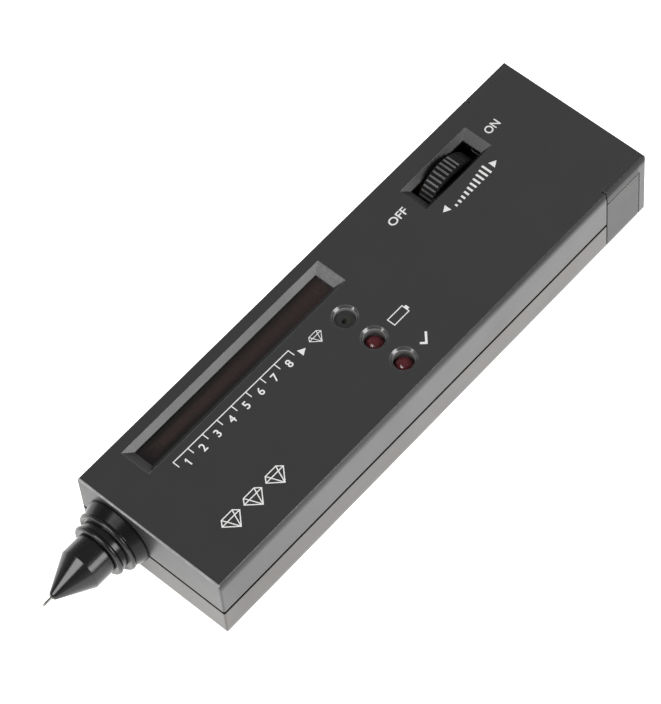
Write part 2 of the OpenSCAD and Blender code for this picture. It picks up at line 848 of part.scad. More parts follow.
module lamp(i) {
    base_z = lamp_tip_z - lamp_h;
    translate([lamp_x, lamp_y + i*lamp_pitch, 0]) {
        translate([0, 0, base_z]) cylinder(d = lamp_d + 2*lamp_flange_w, h = lamp_flange_h);
        translate([0, 0, base_z]) cylinder(d = lamp_d, h = lamp_h - lamp_d/2);
        translate([0, 0, lamp_tip_z - lamp_d/2]) sphere(d = lamp_d);
        for (s = [-1, 1]) translate([lead_set*s, 0, board_top])
            cylinder(r = lead_r, h = base_z + eps - board_top);
    }
}

module battery_lamp() {
    color("#7a1014") place() lamp(1);
}

module ready_lamp() {
    color("#7a1014") place() lamp(0);
}

module buzzer() {
    port_r = 1;
    port_depth = 2;
    // Its nozzle stands in the hole, a little deeper than the lamps beside it
    nozzle_h = lamp_tip_z - rest_gap - board_top;
    color("#202020") place() translate([lamp_x, lamp_y + 2*lamp_pitch, board_top]) difference() {
        union() {
            cylinder(r = buzzer_r, h = buzzer_h);
            cylinder(r = lamp_d/2, h = nozzle_h);
        }
        translate([0, 0, nozzle_h - port_depth]) cylinder(r = port_r, h = port_depth + eps);
    }
}

// Thumbwheel and its control

module volume_wheel() {
    root_r = wheel_r - ridge_h;
    step = 360/ridge_count;
    // Half the angle of a ridge at its foot and at its top
    foot = 0.36*step;
    top = 0.18*step;
    function polar(r, a) = [r*cos(a), r*sin(a)];
    outline = [for (i = [0 : ridge_count - 1]) each [
        polar(root_r, step*i - foot), polar(wheel_r, step*i - top),
        polar(wheel_r, step*i + top), polar(root_r, step*i + foot)
    ]];
    color("#1c1c1c") place() difference() {
        translate([wheel_x, wheel_y, wheel_z]) rotate([-90, 0, 0]) intersection() {
            linear_extrude(wheel_w) polygon(outline);
            rotate_extrude() polygon([
                [0, 0], [wheel_r - rim_chamfer, 0], [wheel_r + small_gap, rim_chamfer + small_gap],
                [wheel_r + small_gap, wheel_w - rim_chamfer - small_gap], [wheel_r - rim_chamfer, wheel_w],
                [0, wheel_w]
            ]);
        }
        difference() {
            axle_rod(wheel_y - eps, wheel_y + dish_depth, wheel_r - rim_t);
            axle_rod(wheel_y - 2*eps, wheel_y + wheel_w, hub_r);
        }
        axle_rod(wheel_y - eps, shaft_y, axle_head_r + small_gap);
        axle_rod(shaft_y - eps, wheel_y + wheel_w + eps, shaft_r);
    }
}

module wheel_shaft() {
    color("#a9a9a7") place() difference() {
        axle_rod(shaft_y, shaft_end_y, shaft_r);
        axle_rod(shaft_y - eps, shaft_y + axle_screw_l + small_gap, axle_screw_r + fit_gap);
    }
}

module wheel_screw() {
    color("#9a9a98") place() difference() {
        union() {
            axle_rod(shaft_y - axle_head_t, shaft_y, axle_head_r);
            axle_rod(shaft_y - eps, shaft_y + axle_screw_l, axle_screw_r);
        }
        translate([wheel_x, shaft_y - axle_head_t, wheel_z]) rotate([-90, 0, 0])
            cross_slot(axle_head_r, -eps, eps + cross_depth);
    }
}

// The part of the control that stands on the board between two depths
module control_body(y0, y1, r) {
    intersection() {
        union() {
            axle_rod(y0, y1, r);
            translate([wheel_x - r, y0, board_top]) cube([2*r, y1 - y0, wheel_z - board_top]);
        }
        translate([wheel_x - 2*r, y0 - eps, board_top])
            cube([4*r, y1 - y0 + 2*eps, ceiling_z - rest_gap - board_top]);
    }
}

module volume_control() {
    color("#4a3b2a") place() difference() {
        control_body(control_y, control_y + track_t, control_r);
        axle_rod(control_y - eps, shaft_end_y + rest_gap, shaft_r + fit_gap);
    }
}

module power_switch() {
    switch_y = control_y + track_t;
    color("#8c8d8b") place() control_body(switch_y, switch_y + switch_t, control_r - switch_step);
}

// Board and what stands on it

module circuit_board() {
    arm_y = rib_y + rib_t + wheel_gap/2;
    color("#2c5a38") place() difference() {
        translate([0, 0, board_z]) linear_extrude(board_t) polygon([
            [board_x, -inner_y + board_gap], [board_end_x, -inner_y + board_gap],
            [board_end_x, arm_y], [board_slot_x, arm_y], [board_slot_x, control_y],
            [board_arm_x, control_y], [board_arm_x, inner_y - board_gap], [board_x, inner_y - board_gap]
        ]);
        at_bosses() cylinder(r = pillar_r + rest_gap, h = case_h);
        for (p = board_screw_at) translate([p[0], p[1], 0])
            cylinder(r = board_screw_r + small_gap, h = case_h);
    }
}

module board_screws() {
    color("#9a9a98") place() for (p = board_screw_at) translate([p[0], p[1], board_top]) difference() {
        union() {
            cylinder(r = board_head_r, h = board_head_t);
            translate([0, 0, -board_screw_l]) cylinder(r = board_screw_r, h = board_screw_l + eps);
        }
        cross_slot(board_head_r, board_head_t - cross_depth, cross_depth + eps);
    }
}

// A chip with two rows of legs, its length along x
module chip(x, y, pins) {
    body_l = pin_pitch*pins - 0.5;
    leg_t = 0.3;
    leg_y = chip_w/2 + 0.4;
    leg_h = chip_lift + chip_h/2;
    translate([x, y, board_top]) {
        block(0, 0, chip_lift, [body_l, chip_w, chip_h]);
        for (i = [0 : pins - 1], s = [-1, 1]) translate([(i - (pins - 1)/2)*pin_pitch, 0, 0]) {
            block(0, s*leg_y, 0, [2*leg_t, leg_t, leg_h]);
            block(0, s*(leg_y - leg_t), leg_h - leg_t, [4*leg_t, 3*leg_t, leg_t]);
        }
    }
}

module driver_chip() {
    color("#1a1a1a") place() chip(driver_x, chip_y, 9);
}

module amplifier_chip() {
    color("#1a1a1a") place() chip(amplifier_x, chip_y, 4);
}

module capacitors() {
    can_r = 2.5;
    can_h = 8;
    big_can_r = 3.1;
    big_can_h = 10;
    big_can_x = 60;
    big_can_in = 1;
    rear_can_x = 53;
    rear_can_in = 0.6;
    front_can_x = 19;
    front_can_in = 0.4;
    mid_can_x = 60.2;
    mid_can_y = -3;
    // Place on the board, radius and height of each can
    cans = [
        [big_can_x, side_row_y + big_can_in, big_can_r, big_can_h],
        [rear_can_x, side_row_y + rear_can_in, can_r, can_h],
        [front_can_x, side_row_y + front_can_in, can_r, can_h],
        [mid_can_x, mid_can_y, can_r, can_h]
    ];
    groove_r = 0.35;
    groove_drop = 1.2;
    color("#23344f") place() for (c = cans) translate([c[0], c[1], board_top]) difference() {
        cylinder(r = c[2], h = c[3]);
        translate([0, 0, c[3] - groove_drop]) rotate_extrude()
            translate([c[2] + small_gap, 0]) circle(groove_r);
    }
}

module resistors() {
    count = 8;
    pitch = 4;
    first_x = 22;
    row_y = -5.6;
    body_r = 1.05;
    body_l = 5;
    body_z = body_r + lead_r;
    leg_span = 8;
    color("#c8a878") place() for (i = [0 : count - 1]) translate([first_x + pitch*i, row_y, board_top]) {
        translate([0, 0, body_z]) rotate([90, 0, 0]) cylinder(r = body_r, h = body_l, center = true);
        translate([0, 0, body_z]) rotate([90, 0, 0]) cylinder(r = lead_r, h = leg_span, center = true);
        for (s = [-1, 1]) translate([0, s*(leg_span/2 - lead_r), 0]) cylinder(r = lead_r, h = body_z);
    }
}

module trimmer() {
    size = [7, 7, 5];
    dial_r = 2.2;
    dial_depth = 0.6;
    color("#2f62a8") place() translate([trimmer_x, side_row_y, board_top]) difference() {
        block(0, 0, 0, size);
        translate([0, 0, size[2] - dial_depth]) cylinder(r = dial_r, h = dial_depth + eps);
        block(0, 0, size[2] - dial_depth - cross_depth, [1.6*dial_r, cross_w, size[2]]);
    }
}

module transistors() {
    can_r = 2.3;
    can_h = 4.6;
    can_z = 2;
    flat_y = 1.3;
    leg_w = 0.45;
    color("#1e1e1e") place() for (x = transistor_x) translate([x, side_row_y, board_top]) {
        difference() {
            translate([0, 0, can_z]) cylinder(r = can_r, h = can_h);
            block(0, flat_y + can_r/2, can_z - eps, [3*can_r, can_r, can_h + 2*eps]);
        }
        for (i = [-1 : 1]) block(lead_set*i, 0, 0, [leg_w, leg_w, can_z + eps]);
    }
}

// Battery and its lead

module battery() {
    battery_corner_r = 2;
    color("#5a5d60") place() along_x(battery_x, battery_l)
        translate([battery_mid_y, case_h/2]) round_rect(battery_w, battery_t, battery_corner_r);
}

// A rod on the axis of the left stud, s = 1, or of the right one, s = -1
module stud_rod(s, x0, x1, r) {
    translate([x0, battery_mid_y + s*stud_pitch/2, case_h/2]) rotate([0, 90, 0]) cylinder(r = r, h = x1 - x0);
}

module battery_studs() {
    socket_r = socket_stud_r - 0.8;
    socket_depth = 1.6;
    color("#c4c5c3") place() {
        stud_rod(-1, battery_x - stud_h, battery_x, stud_r);
        difference() {
            stud_rod(1, battery_x - stud_h, battery_x, socket_stud_r);
            stud_rod(1, battery_x - stud_h - eps, battery_x - stud_h + socket_depth, socket_r);
        }
    }
}

module battery_snap() {
    snap_w = battery_w - 0.6;
    snap_h = 12.4;
    snap_corner_r = 2;
    color("#1f1f1f") place() difference() {
        along_x(snap_x, snap_t) translate([battery_mid_y, case_h/2])
            round_rect(snap_w, snap_h, snap_corner_r);
        stud_rod(-1, battery_x - stud_h - small_gap, battery_x, stud_r + stud_gap);
        stud_rod(1, battery_x - stud_h - small_gap, battery_x, socket_stud_r + stud_gap);
    }
}

// A lead from the snap connector down to the board
module battery_lead(s) {
    lead_wire_r = 0.65;
    y = battery_mid_y + s*stud_pitch/2;
    z = case_h/2 + 3.5;
    tube([
        [snap_x, y, z], [snap_x - 1.4, y, z], [snap_x - 3, y, z - 0.4], [snap_x - 4.8, y, z - 1.4],
        [snap_x - 6.2, y, z - 3], [snap_x - 7, y, z - 4.8], [snap_x - 7.2, y, board_top + 1.4],
        [snap_x - 7.2, y, board_top]
    ], lead_wire_r, 8, [0, 1, 0]);
}

module red_lead() {
    color("#a81c1c") place() battery_lead(-1);
}

module black_lead() {
    color("#181818") place() battery_lead(1);
}

module battery_pad() {
    pad_inset = 2;
    pad_corner_r = 1;
    pad_w = battery_w - 2*pad_inset;
    pad_h = battery_t - 2*pad_inset;
    color("#2b2b2b") place() along_x(case_l - wall - pad_t, pad_t)
        translate([battery_mid_y, case_h/2]) round_rect(pad_w, pad_h, pad_corner_r);
}

upper_case();
lower_case();
battery_cover();
case_screws();
touch_plate();
probe_collar();
nose_cone();
probe_sleeve();
probe_tip();
probe_heater();
probe_spring();
probe_terminal();
probe_wires();
probe_connector();
window_filter();
light_baffle();
bar_leds();
battery_lamp();
ready_lamp();
buzzer();
volume_wheel();
wheel_shaft();
wheel_screw();
volume_control();
power_switch();
circuit_board();
board_screws();
driver_chip();
amplifier_chip();
capacitors();
resistors();
trimmer();
transistors();
battery();
battery_studs();
battery_snap();
red_lead();
black_lead();
battery_pad();
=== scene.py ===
"""Dresses a pocket gem tester: finishes, printed marks and small inner pieces, with studio and camera."""

import json
import math

import bmesh
import bpy
from mathutils import Matrix, Vector


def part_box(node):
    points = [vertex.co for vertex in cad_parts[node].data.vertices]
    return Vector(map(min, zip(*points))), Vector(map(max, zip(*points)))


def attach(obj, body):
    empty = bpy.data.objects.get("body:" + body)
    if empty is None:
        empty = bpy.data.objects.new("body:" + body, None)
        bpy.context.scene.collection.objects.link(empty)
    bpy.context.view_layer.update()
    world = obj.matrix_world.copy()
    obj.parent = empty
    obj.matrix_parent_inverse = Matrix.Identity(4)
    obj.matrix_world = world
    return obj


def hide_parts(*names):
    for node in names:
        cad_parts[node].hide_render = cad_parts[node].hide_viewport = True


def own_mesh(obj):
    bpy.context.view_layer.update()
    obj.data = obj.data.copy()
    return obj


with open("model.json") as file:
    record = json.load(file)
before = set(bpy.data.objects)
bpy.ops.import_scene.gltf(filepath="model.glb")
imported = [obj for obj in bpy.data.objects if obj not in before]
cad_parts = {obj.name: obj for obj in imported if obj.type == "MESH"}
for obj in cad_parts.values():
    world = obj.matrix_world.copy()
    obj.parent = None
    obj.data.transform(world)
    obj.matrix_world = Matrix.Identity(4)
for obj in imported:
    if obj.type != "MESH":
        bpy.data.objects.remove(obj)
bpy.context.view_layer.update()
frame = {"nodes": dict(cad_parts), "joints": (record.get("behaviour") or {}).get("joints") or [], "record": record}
NODES = frame["nodes"]

# Units and places taken from the frame. Printed marks are placed in millimetres from the case's front face.
MM = 0.001
CASE_LOW, CASE_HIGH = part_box("upper_case")
FRONT_X, REAR_X = CASE_LOW[0], CASE_HIGH[0]
SIDE_Y = CASE_HIGH[1]
TOP_Z = CASE_HIGH[2]
PARTING_Z = CASE_LOW[2]

# Forms of the case that its finish follows
FACE_SLACK = 0.1 * MM
PARTING_W = 0.7 * MM
PARTING_SLACK = 0.02 * MM
HOLE_NODES = ("ready_lamp", "battery_lamp", "buzzer")
HOLE_R = 3.2 * MM
BORE_R = 2.65 * MM
BORE_LIGHT_Z = (TOP_Z - 2.4 * MM, TOP_Z - 0.6 * MM)
RECESS_Z = (TOP_Z - 5 * MM, TOP_Z - 0.06 * MM)
RECESS_Y = SIDE_Y - 2.5 * MM
WINDOW_BEVEL_X = (FRONT_X + 74.3 * MM, FRONT_X + 77.1 * MM)
SLOT_MID_X = FRONT_X + 114.85 * MM
SLOT_HALF_L = 11.8 * MM
TONGUE_L = 6 * MM
COVER_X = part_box("battery_cover")[0][0] + TONGUE_L
COVER_RIM_Z = TOP_Z - 2.1 * MM
COVER_RIM_HALF = (0.25 * MM, 0.6 * MM)
PANEL_X = (COVER_X + MM, FRONT_X + 143.9 * MM)
PANEL_TOP_Z = TOP_Z - 2.5 * MM
PANEL_LINE_Y = (SIDE_Y - 0.7 * MM, SIDE_Y - 0.04 * MM)

# Where wear, dullness, and the painted light and shade on the case start and end
NOSE_LIP = 0.42 * MM
TOP_EDGE_Z = TOP_Z - 0.8 * MM
WEAR_AND_HIGHLIGHT_X = (FRONT_X + 30 * MM, FRONT_X + 110 * MM)
FOOT_Y = SIDE_Y - 0.3 * MM
FOOT_GLOW_Z = (1.3 * MM, 0.1 * MM)
SOFT_Y = SIDE_Y - 1.3 * MM
BROW_X = (FRONT_X + 65 * MM, FRONT_X + 100 * MM)
BROW_Y = SIDE_Y - 0.52 * MM
BROW_Z = (TOP_Z - 2.4 * MM, TOP_Z - MM)
COVER_SHADE_Z = (TOP_Z - 3.6 * MM, TOP_Z - 2.6 * MM)
HOLE_RUB = (-1.5 * MM, 0.8 * MM)
BEVEL_GLINT_Z = TOP_Z - 1.5 * MM
WHEEL_SHADOW_REACH = (4 * MM, 11 * MM)

# Tones of the case, and of the light and shade painted on it
CASE_GREY = (0.041, 0.041, 0.042)
LOWER_GREY = (0.066, 0.06, 0.055)
PANEL_LIGHT_GREY = (0.16, 0.16, 0.158)
WEAR_AND_HIGHLIGHT_GREY = (0.3, 0.3, 0.295)
BEVEL_LIGHT_GREY = (0.15, 0.15, 0.148)
DUST_GREY = (0.3, 0.29, 0.27)
BORE_LIGHT_GREY = (0.32, 0.32, 0.315)
WHEEL_SHADOW_BLACK = (0.006, 0.006, 0.006)
PARTING_SHADE_BLACK = (0.004, 0.004, 0.004)

# Places that other finishes follow
PORT_R = 1.05 * MM
PORT_LIP = 0.05 * MM
PROBE_ROOT_X = FRONT_X - 3 * MM
BARREL_X = (FRONT_X - 13.3 * MM, FRONT_X - 12.6 * MM)
RIDGE_DEPTH = (0.14 * MM, 0.03 * MM)
# Ridge tops on the wheel carry a painted highlight up to this far behind the axle
RIDGE_LIGHT_REACH = 3.4 * MM
RIDGE_LIGHT_FULL = 3 * MM
# Painted shade on the filter, along its margins and at its front end
FILTER_MARGIN = (0.7 * MM, 1.8 * MM)
FILTER_SHADE_L = (2 * MM, 7 * MM)
FILTER_CLEAR_L = (8 * MM, 5 * MM)
BATTERY_BAND_L = 14 * MM
BAND_EDGE = 0.2 * MM

# White printing on the top face
INK_SINK = 0.01
INK_RISE = 0.02
LINE_W = 0.25
SCALE_X = 16.6
SCALE_Y = 7.25
SCALE_STEPS = 8
SCALE_PITCH = 4.745
SCALE_RISE = 0.3
TICK_L = 1.75
DIGIT_Y = 4.95
DIGIT_H = 2.15
WORD_H = 2.15
LETTER_WEIGHT = 0.013
OFF_AT = (97.6, 11.9)
OFF_W = 5.6
ON_AT = (130.6, 11.45)
ON_W = 4.2
ARROW_W = 1.8
ARROW_H = 2.0
SCALE_ARROW_AT = (56.7, 4.7)
QUIET_ARROW_AT = (106.0, 4.6)
LOUD_ARROW_AT = (123.1, 4.45)
BAR_X = (108.3, 120.9)
BAR_H = (0.7, 2.9)
BAR_COUNT = 10
BAR_W = 0.55
SMALL_GEM_AT = (61.3, 4.55)
SMALL_GEM_W = 3.9
ROW_GEM_X = (14.3, 21.5, 28.7)
ROW_GEM_Y = -12.7
ROW_GEM_W = 5.7
BATTERY_SIGN_AT = (77.4, -5.8)
BATTERY_SIGN = (5.2, 2.4)
TICK_SIGN_AT = (76.4, -14.7)

# Small inner pieces
SPRING_WIRE_R = 0.2 * MM
SPRING_TURNS = 7
PAD_PULL = 0.035
PAD_ROUND = 0.06
PAD_CROWN = 0.45 * MM
LAMP_FRAME_DEPTH = 8 * MM
LAMP_CUP_X = -0.55 * MM
LAMP_POST_X = 1.05 * MM

# Studio: the table stays a hair clear of the case's underside, so that no two faces lie in one plane
FLOOR_HALF = 2.5
FLOOR_DROP = 0.05 * MM
GLOW_X = (-0.15, 0.15)
GLOW = (1.4, 1.72)
LIGHT_DISTANCE = 0.9
SOFTBOXES = (
    ("right_softbox", (0.28, -0.8, 0.5), (0.52, 0.4), 4.5),
    ("left_softbox", (-0.57, 0.1, 0.8), (0.56, 0.33), 4.0),
    ("front_softbox", (-0.85, 0.35, 0.4), (0.14, 0.1), 1.0),
)

# Camera, fitted to the photograph's edges and holes
CAMERA_AT = (-0.29924, -0.32085, 0.72182)
CAMERA_RIGHT = (0.66126, -0.74774, -0.06024)
CAMERA_DOWN = (-0.65744, -0.53899, -0.52655)
CAMERA_LENS = 187.82
CAMERA_SENSOR = 36.0


class Finish:
    """A node material, built up one call at a time, in the object's own coordinates."""

    def __init__(self, name):
        self.material = bpy.data.materials.new(name)
        self.material.use_nodes = True
        self.tree = self.material.node_tree
        self.shader = self.tree.nodes["Principled BSDF"]
        self.place = self.add("TexCoord").outputs["Object"]

    def feed(self, socket, value):
        if isinstance(value, bpy.types.NodeSocket):
            self.tree.links.new(value, socket)
        else:
            socket.default_value = value

    def add(self, kind, inputs=None, **settings):
        made = self.tree.nodes.new("ShaderNode" + kind)
        for key, value in settings.items():
            setattr(made, key, value)
        for key, value in (inputs or {}).items():
            self.feed(made.inputs[key], value)
        return made

    def set(self, **inputs):
        """Shader inputs by name, with underscores for spaces."""
        for key, value in inputs.items():
            self.feed(self.shader.inputs[key.replace("_", " ")], value)

    def stretched(self, scale):
        return self.add("Mapping", {"Vector": self.place, "Scale": scale}).outputs["Vector"]

    def noise(self, size, detail=3.0, scale=(1.0, 1.0, 1.0)):
        """Soft noise with features of about that size in millimetres."""
        vector = self.stretched(scale)
        made = self.add("TexNoise", {"Vector": vector, "Scale": 1 / (size * MM), "Detail": detail})
        return made.outputs["Fac"]

    def cells(self, size, output="Distance", feature="F1"):
        inputs = {"Vector": self.place, "Scale": 1 / (size * MM)}
        return self.add("TexVoronoi", inputs, feature=feature).outputs[output]

    def spread(self, value, start, end, low=0.0, high=1.0):
        """Maps start..end to low..high and holds it there."""
        inputs = {"Value": value, "From Min": start, "From Max": end, "To Min": low, "To Max": high}
        return self.add("MapRange", inputs).outputs["Result"]

    def math(self, operation, a, b=0.0):
        return self.add("Math", {0: a, 1: b}, operation=operation).outputs[0]

    def mix(self, share, a, b):
        made = self.add("Mix", {0: share, 6: rgba(a), 7: rgba(b)}, data_type="RGBA")
        return made.outputs[2]

    def axis(self, name):
        return self.add("SeparateXYZ", {"Vector": self.place}).outputs[name]

    def above(self, value, limit):
        return self.math("GREATER_THAN", value, limit)

    def below(self, value, limit):
        return self.math("LESS_THAN", value, limit)

    def between(self, value, low, high):
        return self.both(self.above(value, low), self.below(value, high))

    def both(self, first, *others):
        """Product of shares: what they all cover."""
        for other in others:
            first = self.math("MULTIPLY", first, other)
        return first

    def either(self, a, b):
        return self.math("MAXIMUM", a, b)

    def away(self, value, middle):
        return self.math("ABSOLUTE", self.math("SUBTRACT", value, middle))

    def reach(self, axis, across):
        """Distance from a point on an axis, counted only along the directions across it."""
        out = self.add("VectorMath", {0: self.place, 1: axis}, operation="SUBTRACT").outputs["Vector"]
        flat = self.add("VectorMath", {0: out, 1: across}, operation="MULTIPLY").outputs["Vector"]
        return self.add("VectorMath", {0: flat}, operation="LENGTH").outputs["Value"]

    def blend(self, share, a, b):
        """Mix of two directions."""
        return self.add("Mix", {0: share, 4: a, 5: b}, data_type="VECTOR").outputs[1]

    def rounded(self, radius):
        return self.add("Bevel", {"Radius": radius * MM}, samples=4).outputs["Normal"]

    def edges(self, radius):
        """1 on edges, 0 on flats, over about that radius in millimetres."""
        normal = self.add("NewGeometry").outputs["Normal"]
        turn = self.add("VectorMath", {0: self.rounded(radius), 1: normal}, operation="DOT_PRODUCT")
        return self.spread(turn.outputs["Value"], 0.99, 0.86)

    def bump(self, height, depth, normal=None):
        inputs = {"Height": height, "Distance": depth * MM, "Strength": 1.0}
        if normal is not None:
            inputs["Normal"] = normal
        return self.add("Bump", inputs).outputs["Normal"]


def rgba(colour):
    return colour if isinstance(colour, bpy.types.NodeSocket) else (*colour, 1.0)


def shade(colour, factor):
    return tuple(min(1.0, channel * factor) for channel in colour)


def moulded(name, colour, roughness, grain=0.3, depth=0.006, patch=None):
    """Moulded plastic, resin or lacquer: cloudy colour, uneven gloss, fine grain and softened edges."""
    made = Finish(name)
    vary, edge = 0.14, 0.08
    clouds = made.noise(7.0)
    grains = made.noise(grain, 4.0)
    tint = made.mix(clouds, shade(colour, 1 - vary), shade(colour, 1 + vary))
    if patch is not None:
        tint = patch(made, tint)
    lightened_edges = made.both(made.edges(edge * 2), made.spread(made.noise(1.4), 0.45, 0.65, 0.0, 0.5))
    made.set(
        Base_Color=made.mix(lightened_edges, tint, shade(colour, 2.2)),
        Roughness=made.spread(made.noise(2.6), 0.3, 0.7, roughness - 0.05, roughness + 0.05),
        Normal=made.bump(grains, depth, made.rounded(edge)),
    )
    return made.material


def metal(name, colour, roughness, streak=(1.0, 1.0, 1.0), size=0.5, tarnish=0.2):
    """Bare metal with drawn or turned streaks and patches of tarnish."""
    made = Finish(name)
    streaks = made.noise(size, 5.0, streak)
    patches = made.spread(made.noise(3.0), 0.45, 0.75, 0.0, tarnish)
    tint = made.mix(streaks, shade(colour, 0.88), shade(colour, 1.1))
    made.set(
        Base_Color=made.mix(patches, tint, shade(colour, 0.45)),
        Metallic=1.0,
        Roughness=made.spread(streaks, 0.3, 0.7, roughness - 0.07, roughness + 0.08),
        Normal=made.bump(streaks, 0.002, made.rounded(0.06)),
    )
    return made.material


def joint(name):
    return next(one for one in frame["joints"] if one["name"] == name)


def plan_middle(node):
    low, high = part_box(node)
    return (low[0] + high[0]) / 2, (low[1] + high[1]) / 2


def plan_reach(made, node):
    """Distance in plan from the upright axis of a node."""
    return made.reach((*plan_middle(node), 0.0), (1.0, 1.0, 0.0))


def hole_distance(made):
    """Distance in plan from the axis of the nearest of the three holes in the top."""
    near, *others = (plan_reach(made, node) for node in HOLE_NODES)
    for other in others:
        near = made.math("MINIMUM", near, other)
    return near


def hole_rear_half(made):
    """1 on the rear left half of each hole in the row, where its rim is rubbed, and 0 on the other."""
    mid_x, mid_y = plan_middle("ready_lamp")
    half_pitch = abs(plan_middle("battery_lamp")[1] - mid_y) / 2
    from_y = made.math("SUBTRACT", made.axis("Y"), mid_y)
    from_y = made.add("Math", {0: from_y, 1: half_pitch, 2: -half_pitch}, operation="WRAP").outputs[0]
    from_x = made.math("SUBTRACT", made.axis("X"), mid_x)
    return made.spread(made.math("ADD", from_x, from_y), *HOLE_RUB)


def dull_places(made, x, y, z):
    """The cover, but for its rim line and rear strip, and the sides where they round in towards the top: duller,
    and painted darker as shade that deepens towards the top, with the cover's rim line left lighter as a painted
    highlight.
    """
    rim = made.spread(made.away(z, COVER_RIM_Z), *COVER_RIM_HALF, 0.35, 0.0)
    cover = made.math("SUBTRACT", made.spread(z, *COVER_SHADE_Z, 0.62, 0.95), rim)
    strip = made.both(made.above(x, PANEL_X[1]), made.above(y, SIDE_Y - FACE_SLACK))
    behind = made.both(made.above(x, COVER_X), made.below(z, TOP_Z - FACE_SLACK))
    cover = made.both(cover, made.spread(strip, 0.0, 1.0, 1.0, 0.2), behind)
    brow = made.both(made.above(y, BROW_Y), made.spread(z, *BROW_Z), made.spread(x, *BROW_X, 0.55, 0.9))
    return made.either(brow, cover)


def panel_lines(made, x, y, z):
    """The grooves round the panel on each side of the cover, painted lighter as light against their own shade."""
    return made.both(made.between(y, *PANEL_LINE_Y), made.above(x, PANEL_X[0]), made.below(z, PANEL_TOP_Z))


def top_wear(made, x, z, nose, edge, high):
    """Edges round the top lightened by rubbing and by a painted highlight, most of all the line along the nose's
    top edge.
    """
    lip = made.both(nose, made.above(z, TOP_Z - NOSE_LIP))
    lightened_edges = made.either(lip, made.both(edge, made.spread(x, *WEAR_AND_HIGHLIGHT_X, 0.9, 0.15), high))
    return made.both(lightened_edges, made.spread(made.noise(2.2), 0.35, 0.65, 0.6, 1.0))


def window_scuffs(made, x, z, sunk, edge):
    """Painted light on the window's rear bevel, in grainy patches, strongest as a painted highlight along its
    lower edge.
    """
    facing = made.add("SeparateXYZ", {"Vector": made.add("NewGeometry").outputs["Normal"]}).outputs["X"]
    bevel = made.both(made.between(x, *WINDOW_BEVEL_X), sunk, made.below(facing, -0.3))
    patches = made.spread(made.noise(0.9), 0.3, 0.7, 0.3, 0.7)
    return made.both(bevel, made.either(patches, made.both(edge, made.below(z, BEVEL_GLINT_Z))))


def slot_grime(made, x, sunk):
    """Painted shadow of the wheel on the bevels round it, deepest beside it."""
    from_wheel = made.away(x, SLOT_MID_X)
    bevels = made.both(sunk, made.below(from_wheel, SLOT_HALF_L))
    return made.both(bevels, made.spread(from_wheel, *WHEEL_SHADOW_REACH, 0.9, 0.3))


